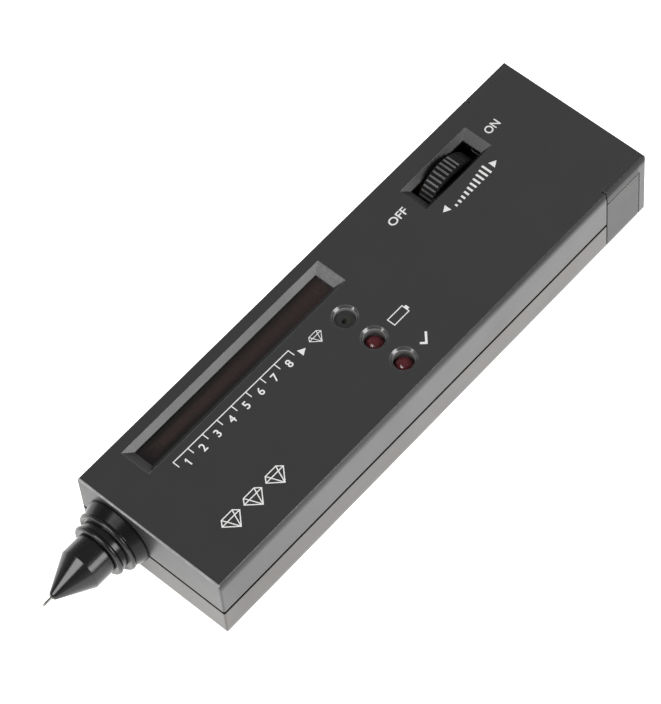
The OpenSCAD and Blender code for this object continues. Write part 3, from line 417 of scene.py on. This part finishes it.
def case_plastic():
    """Spark-eroded dark grey case: fine grain, handled smooth patches, rubbed edges with painted highlights, a
    little dust, and painted light and shade on its bevels, grooves and holes.
    """
    made = Finish("case_plastic")
    x, y, z = made.axis("X"), made.math("ABSOLUTE", made.axis("Y")), made.axis("Z")
    ahead = made.below(x, COVER_X)
    nose = made.below(x, FRONT_X + NOSE_LIP)
    high = made.above(z, TOP_EDGE_Z)
    sunk = made.both(made.between(z, *RECESS_Z), made.below(y, RECESS_Y))
    edge = made.edges(0.32)

    # The shells are painted darker towards the front as shade, over a mottled tone, the lower one is warmer, and
    # the cover and the sides' rounding are duller and painted darker as shade
    front_shade_and_mottle = made.math("ADD", made.spread(x, FRONT_X, REAR_X, 0.0, 0.7), made.both(made.noise(9.0), 0.3))
    tint = made.mix(front_shade_and_mottle, shade(CASE_GREY, 0.8), shade(CASE_GREY, 1.1))
    lower = made.both(made.below(z, PARTING_Z - FACE_SLACK), ahead)
    tint = made.mix(lower, tint, LOWER_GREY)
    shaded_and_dull = dull_places(made, x, y, z)
    tint = made.mix(shaded_and_dull, tint, shade(CASE_GREY, 0.4))
    # The panel grooves are painted lighter, as painted light against their own shade
    tint = made.mix(panel_lines(made, x, y, z), tint, PANEL_LIGHT_GREY)

    # Edges round the top are rubbed lighter and carry a painted highlight, and the foot along the table is painted
    # lighter as light from the table
    lightened = top_wear(made, x, z, nose, edge, high)
    foot = made.both(made.either(nose, made.above(y, FOOT_Y)), made.spread(z, *FOOT_GLOW_Z, 0.0, 0.5))
    tint = made.mix(made.either(lightened, foot), tint, WEAR_AND_HIGHLIGHT_GREY)

    # The window's rear bevel is painted lighter as light, the bevels round the wheel are painted darker as its
    # shadow, and specks of dust lie about
    tint = made.mix(window_scuffs(made, x, z, sunk, edge), tint, BEVEL_LIGHT_GREY)
    wheel_shadow = slot_grime(made, x, sunk)
    tint = made.mix(wheel_shadow, tint, WHEEL_SHADOW_BLACK)
    speck = made.spread(made.cells(2.4), 0.018, 0.036, 1.0, 0.0)
    chosen = made.spread(made.noise(6.0), 0.56, 0.6, 0.0, 0.6)
    tint = made.mix(made.both(speck, chosen), tint, DUST_GREY)

    # The parting groove is painted black as shade, and the holes' bores are painted paler as light, with rims
    # polished on one half
    parting_shade = made.below(made.away(z, PARTING_Z - PARTING_W / 2), PARTING_W / 2 + PARTING_SLACK)
    parting_shade = made.both(parting_shade, ahead)
    tint = made.mix(parting_shade, tint, PARTING_SHADE_BLACK)
    reach = hole_distance(made)
    hole = made.both(made.below(reach, HOLE_R), made.above(z, RECESS_Z[0]))
    polished = made.both(hole, hole_rear_half(made))
    unpolished = made.math("SUBTRACT", hole, polished)
    # Bore walls are painted paler as light, most near the rim
    bore_light = made.both(hole, made.below(reach, BORE_R), made.spread(z, *BORE_LIGHT_Z, 0.25, 0.8))
    tint = made.mix(bore_light, tint, BORE_LIGHT_GREY)

    # Gloss and shine follow the same places, over a fine grain
    grain = made.noise(0.14, 4.0)
    handled = made.spread(made.noise(16.0), 0.35, 0.7, 0.36, 0.29)
    gloss = made.math("ADD", handled, made.spread(grain, 0.3, 0.7, -0.03, 0.03))
    shine = made.spread(made.both(shaded_and_dull, made.math("SUBTRACT", 1.0, lightened)), 0.0, 1.0, 0.5, 0.1)
    for share, gain in ((polished, 0.5), (wheel_shadow, -0.2), (unpolished, -0.35)):
        shine = made.math("ADD", shine, made.both(share, gain))
    soft = made.both(made.above(y, SOFT_Y), high)
    made.set(
        Base_Color=tint,
        Roughness=made.math("SUBTRACT", gloss, made.both(polished, 0.12)),
        Specular_IOR_Level=made.spread(parting_shade, 0.0, 1.0, shine, 0.05),
        Normal=made.bump(grain, 0.006, made.blend(soft, made.rounded(0.12), made.rounded(0.45))),
    )
    return made.material


def sound_port(made, tint):
    """The inside of the buzzer's port, where its brass disc shows."""
    sunk = made.below(made.axis("Z"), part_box("buzzer")[1][2] - PORT_LIP)
    inside = made.both(sunk, made.below(plan_reach(made, "buzzer"), PORT_R))
    return made.mix(inside, tint, (0.12, 0.114, 0.1))


def print_white():
    """Pad-printed ink: off white, thinner in places, with the case's grain showing through."""
    made = Finish("print_white")
    thin = made.spread(made.noise(0.25, 4.0), 0.62, 0.78, 0.0, 0.35)
    ink = made.mix(made.noise(3.0), (0.8, 0.8, 0.79), (0.88, 0.88, 0.87))
    made.set(
        Base_Color=made.mix(thin, ink, (0.3, 0.3, 0.3)),
        Roughness=made.spread(made.noise(0.5), 0.3, 0.7, 0.45, 0.6),
        Normal=made.bump(made.noise(0.14, 4.0), 0.004),
    )
    return made.material


def probe_plastic():
    """Polished black plastic, duller on the barrel and at the root, with turning marks and fine scuffs."""
    made = Finish("probe_plastic")
    rings = made.noise(0.5, 4.0, (4.0, 0.2, 0.2))
    scuffs = made.spread(made.noise(0.4, 6.0, (0.15, 3.0, 3.0)), 0.62, 0.72)
    x = made.axis("X")
    root = made.above(x, PROBE_ROOT_X)
    barrel = made.spread(x, *BARREL_X, 0.0, 0.07)
    gloss = made.math("ADD", made.spread(rings, 0.3, 0.7, 0.13, 0.18), barrel)
    made.set(
        Base_Color=made.mix(scuffs, (0.007, 0.007, 0.0075), (0.022, 0.022, 0.023)),
        Specular_IOR_Level=made.spread(root, 0.0, 1.0, 0.5, 0.2),
        Roughness=made.math("ADD", gloss, made.both(scuffs, 0.12)),
        Normal=made.bump(rings, 0.0015, made.rounded(0.1)),
    )
    return made.material


def wheel_plastic():
    """Black thumbwheel: dark grooves, and ridge tops lightened by thumb wear and by a painted highlight, brightest
    where they stop, as far as the thumb reaches from OFF, a little behind the axle.
    """
    made = Finish("wheel_plastic")
    axle = joint("wheel_turn")["pos_m"]
    rim_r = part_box("volume_wheel")[1][2] - axle[2]
    radius = made.reach(axle, (1.0, 0.0, 1.0))
    ridge = made.spread(radius, *(rim_r - depth for depth in RIDGE_DEPTH))
    dust = made.spread(made.noise(0.8, 5.0), 0.52, 0.72, 0.0, 0.4)
    tint = made.mix(dust, (0.012, 0.012, 0.013), (0.03, 0.029, 0.028))
    along = made.math("SUBTRACT", made.axis("X"), axle[0])
    lit_and_thumbed = made.both(made.below(along, RIDGE_LIGHT_REACH), made.spread(along, -rim_r, RIDGE_LIGHT_FULL, 0.5, 1.0))
    lightened = made.both(ridge, made.spread(made.noise(1.1), 0.3, 0.7, 0.7, 1.0), lit_and_thumbed)
    made.set(
        Base_Color=made.mix(lightened, tint, (0.15, 0.15, 0.147)),
        Roughness=made.spread(ridge, 0.0, 1.0, 0.5, 0.32),
        Specular_IOR_Level=made.spread(lightened, 0.0, 0.7, 0.1, 0.5),
        Normal=made.bump(made.noise(0.16, 4.0), 0.006, made.rounded(0.1)),
    )
    return made.material


def filter_red():
    """Smoked red acrylic with faint wipe marks, with painted shade along its margins and at its front end."""
    made = Finish("filter_red")
    low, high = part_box("window_filter")
    clear_x = (low[0] + FILTER_CLEAR_L[0], high[0] - FILTER_CLEAR_L[1])
    shade_x = (low[0] + FILTER_SHADE_L[0], low[0] + FILTER_SHADE_L[1])
    x = made.axis("X")
    wipes = made.spread(made.noise(1.2, 5.0, (0.1, 1.0, 1.0)), 0.5, 0.75)
    across = made.math("SUBTRACT", made.axis("Y"), (low[1] + high[1]) / 2)
    at_rear = made.spread(across, -MM, MM, 0.05, 0.45)
    margin = made.spread(made.math("ABSOLUTE", across), *FILTER_MARGIN)
    margin = made.both(margin, made.spread(x, *clear_x, 0.85, at_rear))
    filter_shade = made.either(margin, made.spread(x, *shade_x, 0.9, 0.0))
    tint = made.mix(made.noise(5.0), (0.22, 0.155, 0.145), (0.28, 0.185, 0.175))
    made.set(
        Base_Color=made.mix(filter_shade, tint, (0.045, 0.038, 0.036)),
        Roughness=made.spread(wipes, 0.0, 1.0, 0.06, 0.16),
        Transmission_Weight=0.9,
        IOR=1.49,
    )
    return made.material


def lamp_red():
    """Clear red cast resin with a faint cast skin."""
    made = Finish("lamp_red")
    swirl = made.noise(1.6, 3.0)
    made.set(
        Base_Color=made.mix(swirl, (0.4, 0.05, 0.068), (0.5, 0.08, 0.1)),
        Roughness=made.spread(swirl, 0.3, 0.7, 0.1, 0.16),
        Normal=made.bump(swirl, 0.003),
        Transmission_Weight=0.8,
        IOR=1.53,
    )
    return made.material


def board_green():
    """Solder resist with copper tracks showing through it and bare tinned pads."""
    made = Finish("board_green")
    track = made.spread(made.cells(4.2, "Distance", "DISTANCE_TO_EDGE"), 0.05, 0.065, 1.0, 0.0)
    pad = made.spread(made.cells(2.9), 0.13, 0.15, 1.0, 0.0)
    tint = made.mix(made.noise(8.0), (0.02, 0.1, 0.04), (0.03, 0.13, 0.05))
    tint = made.mix(track, tint, (0.06, 0.22, 0.07))
    made.set(
        Base_Color=made.mix(pad, tint, (0.55, 0.55, 0.52)),
        Metallic=made.both(pad, 0.9),
        Roughness=made.spread(made.noise(0.9), 0.3, 0.7, 0.3, 0.42),
        Normal=made.bump(track, 0.02, made.rounded(0.05)),
    )
    return made.material


def resistor_tan():
    """Tan lacquer with coloured bands across it."""
    made = Finish("resistor_tan")
    stripes = {"Vector": made.place, "Scale": 150.0, "Distortion": 0.0}
    band = made.spread(made.add("TexWave", stripes, bands_direction="X").outputs["Fac"], 0.86, 0.9)
    which = made.mix(made.spread(made.noise(2.0, 0.0), 0.48, 0.52), (0.3, 0.05, 0.02), (0.09, 0.03, 0.02))
    body = made.mix(made.noise(3.0), (0.48, 0.33, 0.17), (0.6, 0.42, 0.23))
    made.set(
        Base_Color=made.mix(band, body, which),
        Roughness=made.spread(made.noise(1.0), 0.3, 0.7, 0.25, 0.36),
        Normal=made.bump(made.noise(0.5), 0.004),
    )
    return made.material


def battery_can():
    """Plain dark wrap on the block battery, with a lighter band at its stud end and rubbed corners."""
    made = Finish("battery_can")
    band_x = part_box("battery")[0][0] + BATTERY_BAND_L
    band = made.spread(made.axis("X"), band_x, band_x + BAND_EDGE, 1.0, 0.0)
    wrap = made.mix(made.noise(6.0), (0.022, 0.024, 0.028), (0.03, 0.032, 0.037))
    tint = made.mix(band, wrap, (0.42, 0.3, 0.13))
    lightened = made.both(made.edges(0.5), made.spread(made.noise(1.5), 0.4, 0.6))
    made.set(
        Base_Color=made.mix(lightened, tint, (0.5, 0.5, 0.49)),
        Metallic=made.either(made.both(band, 0.8), lightened),
        Roughness=made.spread(made.noise(1.1), 0.3, 0.7, 0.26, 0.4),
        Normal=made.bump(made.noise(4.0), 0.02, made.rounded(0.2)),
    )
    return made.material


def foam_black():
    """Open-cell foam: dark pits between lighter cell walls."""
    made = Finish("foam_black")
    walls = made.spread(made.cells(0.55, "Distance", "DISTANCE_TO_EDGE"), 0.02, 0.16, 1.0, 0.0)
    made.set(
        Base_Color=made.mix(walls, (0.008, 0.008, 0.008), (0.05, 0.05, 0.051)),
        Roughness=made.spread(made.noise(1.0), 0.3, 0.7, 0.85, 0.98),
        Normal=made.bump(walls, 0.12),
        Sheen_Weight=0.25,
        Sheen_Roughness=0.6,
    )
    return made.material


FINISHES = {
    "case_plastic": case_plastic(),
    "print_white": print_white(),
    "probe_plastic": probe_plastic(),
    "needle_copper": metal("needle_copper", (0.27, 0.262, 0.25), 0.42, (0.3, 4.0, 4.0), 0.4),
    "sleeve_brass": metal("sleeve_brass", (0.62, 0.45, 0.18), 0.3, (5.0, 0.3, 0.3), 0.5, 0.35),
    "heater_ceramic": moulded("heater_ceramic", (0.72, 0.69, 0.62), 0.7, 0.12, 0.01),
    "plain_steel": metal("plain_steel", (0.55, 0.55, 0.54), 0.32, (1.0, 1.0, 1.0), 0.4, 0.4),
    "touch_steel": metal("touch_steel", (0.62, 0.62, 0.61), 0.28, (0.04, 4.0, 4.0), 0.5, 0.15),
    "wheel_plastic": wheel_plastic(),
    "inner_plastic": moulded("inner_plastic", (0.03, 0.03, 0.031), 0.45, patch=sound_port),
    "filter_red": filter_red(),
    "lamp_red": lamp_red(),
    "control_brown": moulded("control_brown", (0.08, 0.05, 0.03), 0.5, 0.5, 0.01),
    "switch_can": metal("switch_can", (0.5, 0.5, 0.49), 0.35, (1.0, 1.0, 3.0), 0.6, 0.3),
    "board_green": board_green(),
    "chip_black": moulded("chip_black", (0.015, 0.015, 0.016), 0.55, 0.1, 0.008),
    "can_blue": moulded("can_blue", (0.02, 0.04, 0.1), 0.25, 0.6, 0.004),
    "resistor_tan": resistor_tan(),
    "trimmer_blue": moulded("trimmer_blue", (0.03, 0.14, 0.4), 0.35),
    "connector_white": moulded("connector_white", (0.72, 0.69, 0.6), 0.4),
    "wire_yellow": moulded("wire_yellow", (0.62, 0.47, 0.06), 0.42, 0.4, 0.005),
    "wire_red": moulded("wire_red", (0.45, 0.02, 0.02), 0.42, 0.4, 0.005),
    "wire_black": moulded("wire_black", (0.012, 0.012, 0.012), 0.42, 0.4, 0.005),
    "battery_can": battery_can(),
    "foam_black": foam_black(),
}


def dress_nodes():
    for part in frame["record"]["subparts"]:
        for place in NODES[part["node"]].material_slots:
            place.material = FINISHES[part["material_slot"]]


def piece(name, mesh, body, slot, smooth=False):
    """A new piece in its place, riding on a body, with the finish of a slot."""
    mesh.name = name
    mesh.materials.clear()
    mesh.materials.append(FINISHES[slot])
    mesh.polygons.foreach_set("use_smooth", [smooth] * len(mesh.polygons))
    made = bpy.data.objects.new(name, mesh)
    bpy.context.scene.collection.objects.link(made)
    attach(made, body)
    return made


def to_mesh(form):
    """A form built in bmesh as a new mesh, with its faces turned outward."""
    bmesh.ops.recalc_face_normals(form, faces=form.faces)
    mesh = bpy.data.meshes.new("form")
    form.to_mesh(mesh)
    form.free()
    return mesh


def filled(curve):
    """The solid that a flat curve or text gives, in its own plane."""
    curve.extrude = (INK_SINK + INK_RISE) / 2
    holder = bpy.data.objects.new("holder", curve)
    bpy.context.scene.collection.objects.link(holder)
    graph = bpy.context.evaluated_depsgraph_get()
    mesh = bpy.data.meshes.new_from_object(holder.evaluated_get(graph))
    bpy.data.objects.remove(holder)
    return mesh


def outline(loops):
    """Flat shape from closed loops of points, where a loop inside another is a hole."""
    curve = bpy.data.curves.new("outline", "CURVE")
    curve.dimensions = "2D"
    curve.fill_mode = "BOTH"
    for loop in loops:
        spline = curve.splines.new("POLY")
        spline.points.add(len(loop) - 1)
        for point, (x, y) in zip(spline.points, loop):
            point.co = (x, y, 0, 1)
        spline.use_cyclic_u = True
    return filled(curve)


def lettering(text, x, y, height, width=None):
    """Plain characters of that height, and width if one is given, centred on a point."""
    curve = bpy.data.curves.new("lettering", "FONT")
    curve.body = text
    curve.offset = LETTER_WEIGHT
    mesh = filled(curve)
    xs = [v.co.x for v in mesh.vertices]
    ys = [v.co.y for v in mesh.vertices]
    grow = height / (max(ys) - min(ys))
    widen = grow if width is None else width / (max(xs) - min(xs))
    middle = Vector(((max(xs) + min(xs)) / 2, (max(ys) + min(ys)) / 2, 0))
    for vertex in mesh.vertices:
        flat = vertex.co - middle
        vertex.co = (x + flat.x * widen, y + flat.y * grow, vertex.co.z)
    return mesh


def inset(loop, distance):
    """A convex counter-clockwise loop moved inwards, or outwards where distance is negative."""
    moved = []
    for i, corner in enumerate(loop):
        before = Vector(corner) - Vector(loop[i - 1])
        after = Vector(loop[(i + 1) % len(loop)]) - Vector(corner)
        n1 = Vector((-before.y, before.x)).normalized()
        n2 = Vector((-after.y, after.x)).normalized()
        moved.append(tuple(Vector(corner) + (n1 + n2) * distance / (1 + n1.dot(n2))))
    return moved


def printed(name, shapes):
    """One printed piece on the top face from flat shapes in millimetres."""
    form = bmesh.new()
    for mesh in shapes:
        form.from_mesh(mesh)
        bpy.data.meshes.remove(mesh)
    bmesh.ops.remove_doubles(form, verts=form.verts, dist=1e-4)
    lift = (INK_RISE - INK_SINK) / 2
    to_frame = Matrix.Translation((FRONT_X, 0, TOP_Z)) @ Matrix.Scale(MM, 4)
    form.transform(to_frame @ Matrix.Translation((0, 0, lift)))
    return piece(name, to_mesh(form), "case", "print_white")


def scale_lift(x):
    """The scale is printed slightly askew, higher towards its front end."""
    return SCALE_RISE * (1 - (x - SCALE_X) / (SCALE_STEPS * SCALE_PITCH))


def digit(number, x, y):
    """A numeral of the scale; the 1 is drawn with its flag."""
    if number != 1:
        return lettering(str(number), x, y, DIGIT_H)
    half, stem, flag = DIGIT_H / 2, 0.17, 0.5
    return outline([[
        (x + stem, y - half), (x + stem, y + half), (x - 0.4 * stem, y + half), (x - flag, y + half - 0.42),
        (x - flag, y + half - 0.75), (x - stem, y + half - 0.5), (x - stem, y - half),
    ]])


def scale_comb():
    """The scale's line with a tick at each step, as one outline."""
    half = LINE_W / 2
    end_x = SCALE_X + SCALE_STEPS * SCALE_PITCH
    loop = [(end_x + half, SCALE_Y + half), (SCALE_X - half, SCALE_Y + half)]
    for i in range(SCALE_STEPS + 1):
        x = SCALE_X + i * SCALE_PITCH
        tip_y = SCALE_Y - half - TICK_L
        root = [] if i == 0 else [(x - half, SCALE_Y - half)]
        loop += root + [(x - half, tip_y), (x + half, tip_y)]
        if i < SCALE_STEPS:
            loop.append((x + half, SCALE_Y - half))
    return outline([[(x, y + scale_lift(x)) for x, y in loop]])


def arrow(at, direction):
    x, y = at
    half = ARROW_H / 2
    tip = (x + direction * ARROW_W / 2, y)
    back = x - direction * ARROW_W / 2
    return outline([[tip, (back, y + half), (back, y - half)]])


def gem(x, y, width):
    """Side view of a cut stone in line work: a crown of three facets over a pavilion of three."""
    half = width / 2
    crown_y = y + 0.14 * width
    table_y = y + 0.36 * width
    point_y = y - 0.4 * width
    inner = 0.42 * half
    table = 0.62 * half
    girdle_left, girdle_right = (x - half, crown_y), (x + half, crown_y)
    mid_left, mid_right = (x - inner, crown_y), (x + inner, crown_y)
    top_left, top_right = (x - table, table_y), (x + table, table_y)
    point = (x, point_y)
    rim = [point, girdle_right, top_right, top_left, girdle_left]
    facets = [
        [girdle_left, mid_left, top_left],
        [mid_left, (x, crown_y), mid_right, top_right, top_left],
        [mid_right, girdle_right, top_right],
        [point, mid_left, girdle_left],
        [point, mid_right, mid_left],
        [point, girdle_right, mid_right],
    ]
    stroke = 0.045 * width
    return outline([inset(rim, -stroke / 2)] + [inset(facet, stroke / 2) for facet in facets])


def loud_bars():
    """A row of bars that grows from quiet to loud."""
    x0, x1 = BAR_X
    low, high = BAR_H
    foot = QUIET_ARROW_AT[1] - high / 2
    bars = []
    for i in range(BAR_COUNT):
        share = i / (BAR_COUNT - 1)
        x, top = x0 + (x1 - x0 - BAR_W) * share, foot + low + (high - low) * share
        bars.append([(x, foot), (x + BAR_W, foot), (x + BAR_W, top), (x, top)])
    return outline(bars)


def battery_sign():
    """An outlined cell with its stud."""
    x, y = BATTERY_SIGN_AT
    stud_l, stud_h = 0.6, 0.55
    left, right = x - BATTERY_SIGN[0] / 2, x + BATTERY_SIGN[0] / 2
    foot, head = y - BATTERY_SIGN[1] / 2, y + BATTERY_SIGN[1] / 2
    stud = [
        (right, y - stud_h), (right + stud_l, y - stud_h), (right + stud_l, y + stud_h), (right, y + stud_h),
    ]
    rim = [(left, foot), (right, foot), *stud, (right, head), (left, head)]
    body = [(left, foot), (right, foot), (right, head), (left, head)]
    return outline([rim, inset(body, LINE_W)])


def tick_sign():
    """A plain tick mark."""
    x, y = TICK_SIGN_AT
    return outline([[
        (x - 1.7, y + 0.1), (x - 0.55, y - 1.2), (x + 1.9, y + 1.1),
        (x + 1.5, y + 1.5), (x - 0.5, y - 0.4), (x - 1.3, y + 0.5),
    ]])


def printed_marks():
    digit_x = [SCALE_X + (i + 0.5) * SCALE_PITCH for i in range(SCALE_STEPS)]
    printed("scale_print", [scale_comb(), arrow(SCALE_ARROW_AT, 1), gem(*SMALL_GEM_AT, SMALL_GEM_W)])
    digits = [digit(i + 1, x, DIGIT_Y + scale_lift(x) - SCALE_RISE / 2) for i, x in enumerate(digit_x)]
    printed("scale_numbers", digits)
    words = [lettering("OFF", *OFF_AT, WORD_H, OFF_W), lettering("ON", *ON_AT, WORD_H, ON_W)]
    printed("switch_print", words + [arrow(QUIET_ARROW_AT, -1), arrow(LOUD_ARROW_AT, 1), loud_bars()])
    printed("lamp_print", [battery_sign(), tick_sign()])
    printed("stone_print", [gem(x, ROW_GEM_Y, ROW_GEM_W) for x in ROW_GEM_X])


def coil_spring():
    """The probe's spring, with its end turns closed."""
    low, high = (Vector(corner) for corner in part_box("probe_spring"))
    wire_r = SPRING_WIRE_R
    coil_r = (high.y - low.y) / 2 - wire_r
    middle = (low + high) / 2
    rings, sides = 28, 10
    start, length = low.x + wire_r, high.x - low.x - 2 * wire_r
    closed = 2 * wire_r / length
    form = bmesh.new()
    loops = []
    for i in range(SPRING_TURNS * rings + 1):
        turn = i / rings
        share = coil_share(turn, SPRING_TURNS, closed)
        angle = 2 * math.pi * turn
        out = Vector((0, math.cos(angle), math.sin(angle)))
        centre = Vector((start + length * share, middle.y, middle.z)) + out * coil_r
        loops.append([
            form.verts.new(centre + out * wire_r * math.cos(a) + Vector((wire_r * math.sin(a), 0, 0)))
            for a in (2 * math.pi * s / sides for s in range(sides))
        ])
    for one, two in zip(loops, loops[1:]):
        for s in range(sides):
            form.faces.new((one[s], one[(s + 1) % sides], two[(s + 1) % sides], two[s]))
    form.faces.new(loops[0])
    form.faces.new(loops[-1])
    made = piece("coil_spring", to_mesh(form), "case", "plain_steel", smooth=True)
    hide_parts("probe_spring")
    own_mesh(made)


def coil_share(turn, turns, closed):
    """Share of the spring's length reached after so many turns, with one closed turn at each end."""
    if turn < 1:
        return closed * turn
    if turn > turns - 1:
        return 1 - closed * (turns - turn)
    return closed + (1 - 2 * closed) * (turn - 1) / (turns - 2)


def foam_pad():
    """The cover's pad: flat where it is glued, crowned towards the battery, drawn in between its corners."""
    low, high = (Vector(corner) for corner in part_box("battery_pad"))
    middle, half = (low + high) / 2, (high - low) / 2
    form = bmesh.new()
    bmesh.ops.create_cube(form, size=2)
    bmesh.ops.subdivide_edges(form, edges=form.edges, cuts=11, use_grid_fill=True)
    for vertex in form.verts:
        depth, across, up = vertex.co
        crown = (1 - across ** 4) * (1 - up ** 4)
        loose = (1 - depth) / 2
        pull = PAD_PULL * math.sin(math.pi * loose)
        round_off = 1 - PAD_ROUND * loose * (abs(across) * abs(up)) ** 6
        y = across * half.y * (1 - pull * (1 - up * up)) * round_off
        z = up * half.z * (1 - pull * (1 - across * across)) * round_off
        front = low.x + PAD_CROWN * (1 - crown)
        x = high.x + (front - high.x) * loose
        vertex.co = (x, middle.y + y, middle.z + z)
    made = piece("foam_pad", to_mesh(form), "cover", "foam_black", smooth=True)
    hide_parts("battery_pad")


def lathed(form, centre, profile, sides=20):
    """Adds a closed turned shape about a vertical axis, from (radius, height) pairs in millimetres."""
    loops = []
    for radius, height in profile:
        loops.append([
            form.verts.new((
                centre.x + radius * MM * math.cos(2 * math.pi * s / sides),
                centre.y + radius * MM * math.sin(2 * math.pi * s / sides),
                centre.z + height * MM,
            ))
            for s in range(sides)
        ])
    for one, two in zip(loops, loops[1:]):
        for s in range(sides):
            form.faces.new((one[s], one[(s + 1) % sides], two[(s + 1) % sides], two[s]))
    form.faces.new(loops[0])
    form.faces.new(loops[-1])


def lamp_frame(node):
    """The metal frame cast into a lamp: a cupped post and a slim one beside it."""
    low, high = (Vector(corner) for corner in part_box(node))
    base = Vector(((low.x + high.x) / 2, (low.y + high.y) / 2, high.z - LAMP_FRAME_DEPTH))
    form = bmesh.new()
    cup = [(0.3, 0), (0.35, 1.6), (0.75, 2.0), (0.95, 3.0), (0.85, 3.05), (0.45, 2.5), (0.2, 2.5)]
    post = [(0.28, 0), (0.28, 2.4), (0.42, 2.6), (0.42, 3.0), (0.2, 3.15)]
    lathed(form, base + Vector((LAMP_CUP_X, 0, 0)), cup)
    lathed(form, base + Vector((LAMP_POST_X, 0, 0)), post, 12)
    piece(node + "_frame", to_mesh(form), "case", "plain_steel", smooth=True)


def studio_floor():
    """A pale table that glows, as a light table does, a little more towards the object's rear."""
    made = Finish("studio_floor")
    glow = made.spread(made.axis("X"), *GLOW_X, *GLOW)
    tone = made.mix(made.noise(60.0), (0.4, 0.4, 0.4), (0.44, 0.44, 0.44))
    made.set(Base_Color=tone, Roughness=0.6, Emission_Color=(1.0, 0.99, 0.98, 1.0), Emission_Strength=glow)
    form = bmesh.new()
    bmesh.ops.create_grid(form, x_segments=4, y_segments=4, size=FLOOR_HALF)
    floor = bpy.data.objects.new("floor", to_mesh(form))
    floor.location.z = -FLOOR_DROP
    floor.data.materials.append(made.material)
    bpy.context.scene.collection.objects.link(floor)


def studio_sky():
    """A dim room that brightens towards the table's edge."""
    world = bpy.data.worlds.new("studio")
    bpy.context.scene.world = world
    world.use_nodes = True
    tree = world.node_tree
    place = tree.nodes.new("ShaderNodeTexCoord")
    split = tree.nodes.new("ShaderNodeSeparateXYZ")
    height = tree.nodes.new("ShaderNodeMapRange")
    tree.links.new(place.outputs["Generated"], split.inputs["Vector"])
    tree.links.new(split.outputs["Z"], height.inputs["Value"])
    for key, value in {"From Min": 0.0, "From Max": 0.55, "To Min": 0.75, "To Max": 0.22}.items():
        height.inputs[key].default_value = value
    tree.links.new(height.outputs["Result"], tree.nodes["Background"].inputs["Strength"])
    tree.nodes["Background"].inputs["Color"].default_value = (1.0, 1.0, 1.0, 1.0)


def softbox(name, toward, size, power):
    light = bpy.data.lights.new(name, "AREA")
    light.shape = "RECTANGLE"
    light.size, light.size_y = size
    light.energy = power
    made = bpy.data.objects.new(name, light)
    made.location = Vector(toward).normalized() * LIGHT_DISTANCE
    made.rotation_euler = Vector(toward).to_track_quat("Z", "Y").to_euler()
    made.visible_camera = False
    bpy.context.scene.collection.objects.link(made)


def photo_camera():
    camera = bpy.data.cameras.new("camera")
    camera.lens = CAMERA_LENS
    camera.sensor_width = CAMERA_SENSOR
    camera.clip_start = 0.01
    made = bpy.data.objects.new("camera", camera)
    right = Vector(CAMERA_RIGHT)
    up = -Vector(CAMERA_DOWN)
    turn = Matrix((right, up, right.cross(up))).transposed()
    made.matrix_world = Matrix.Translation(CAMERA_AT) @ turn.to_4x4()
    bpy.context.scene.collection.objects.link(made)
    bpy.context.scene.camera = made


photo_camera()
dress_nodes()
printed_marks()
coil_spring()
foam_pad()
for lamp in ("ready_lamp", "battery_lamp"):
    lamp_frame(lamp)
studio_floor()
studio_sky()
for light_settings in SOFTBOXES:
    softbox(*light_settings)
bpy.context.scene.view_settings.view_transform = "Standard"
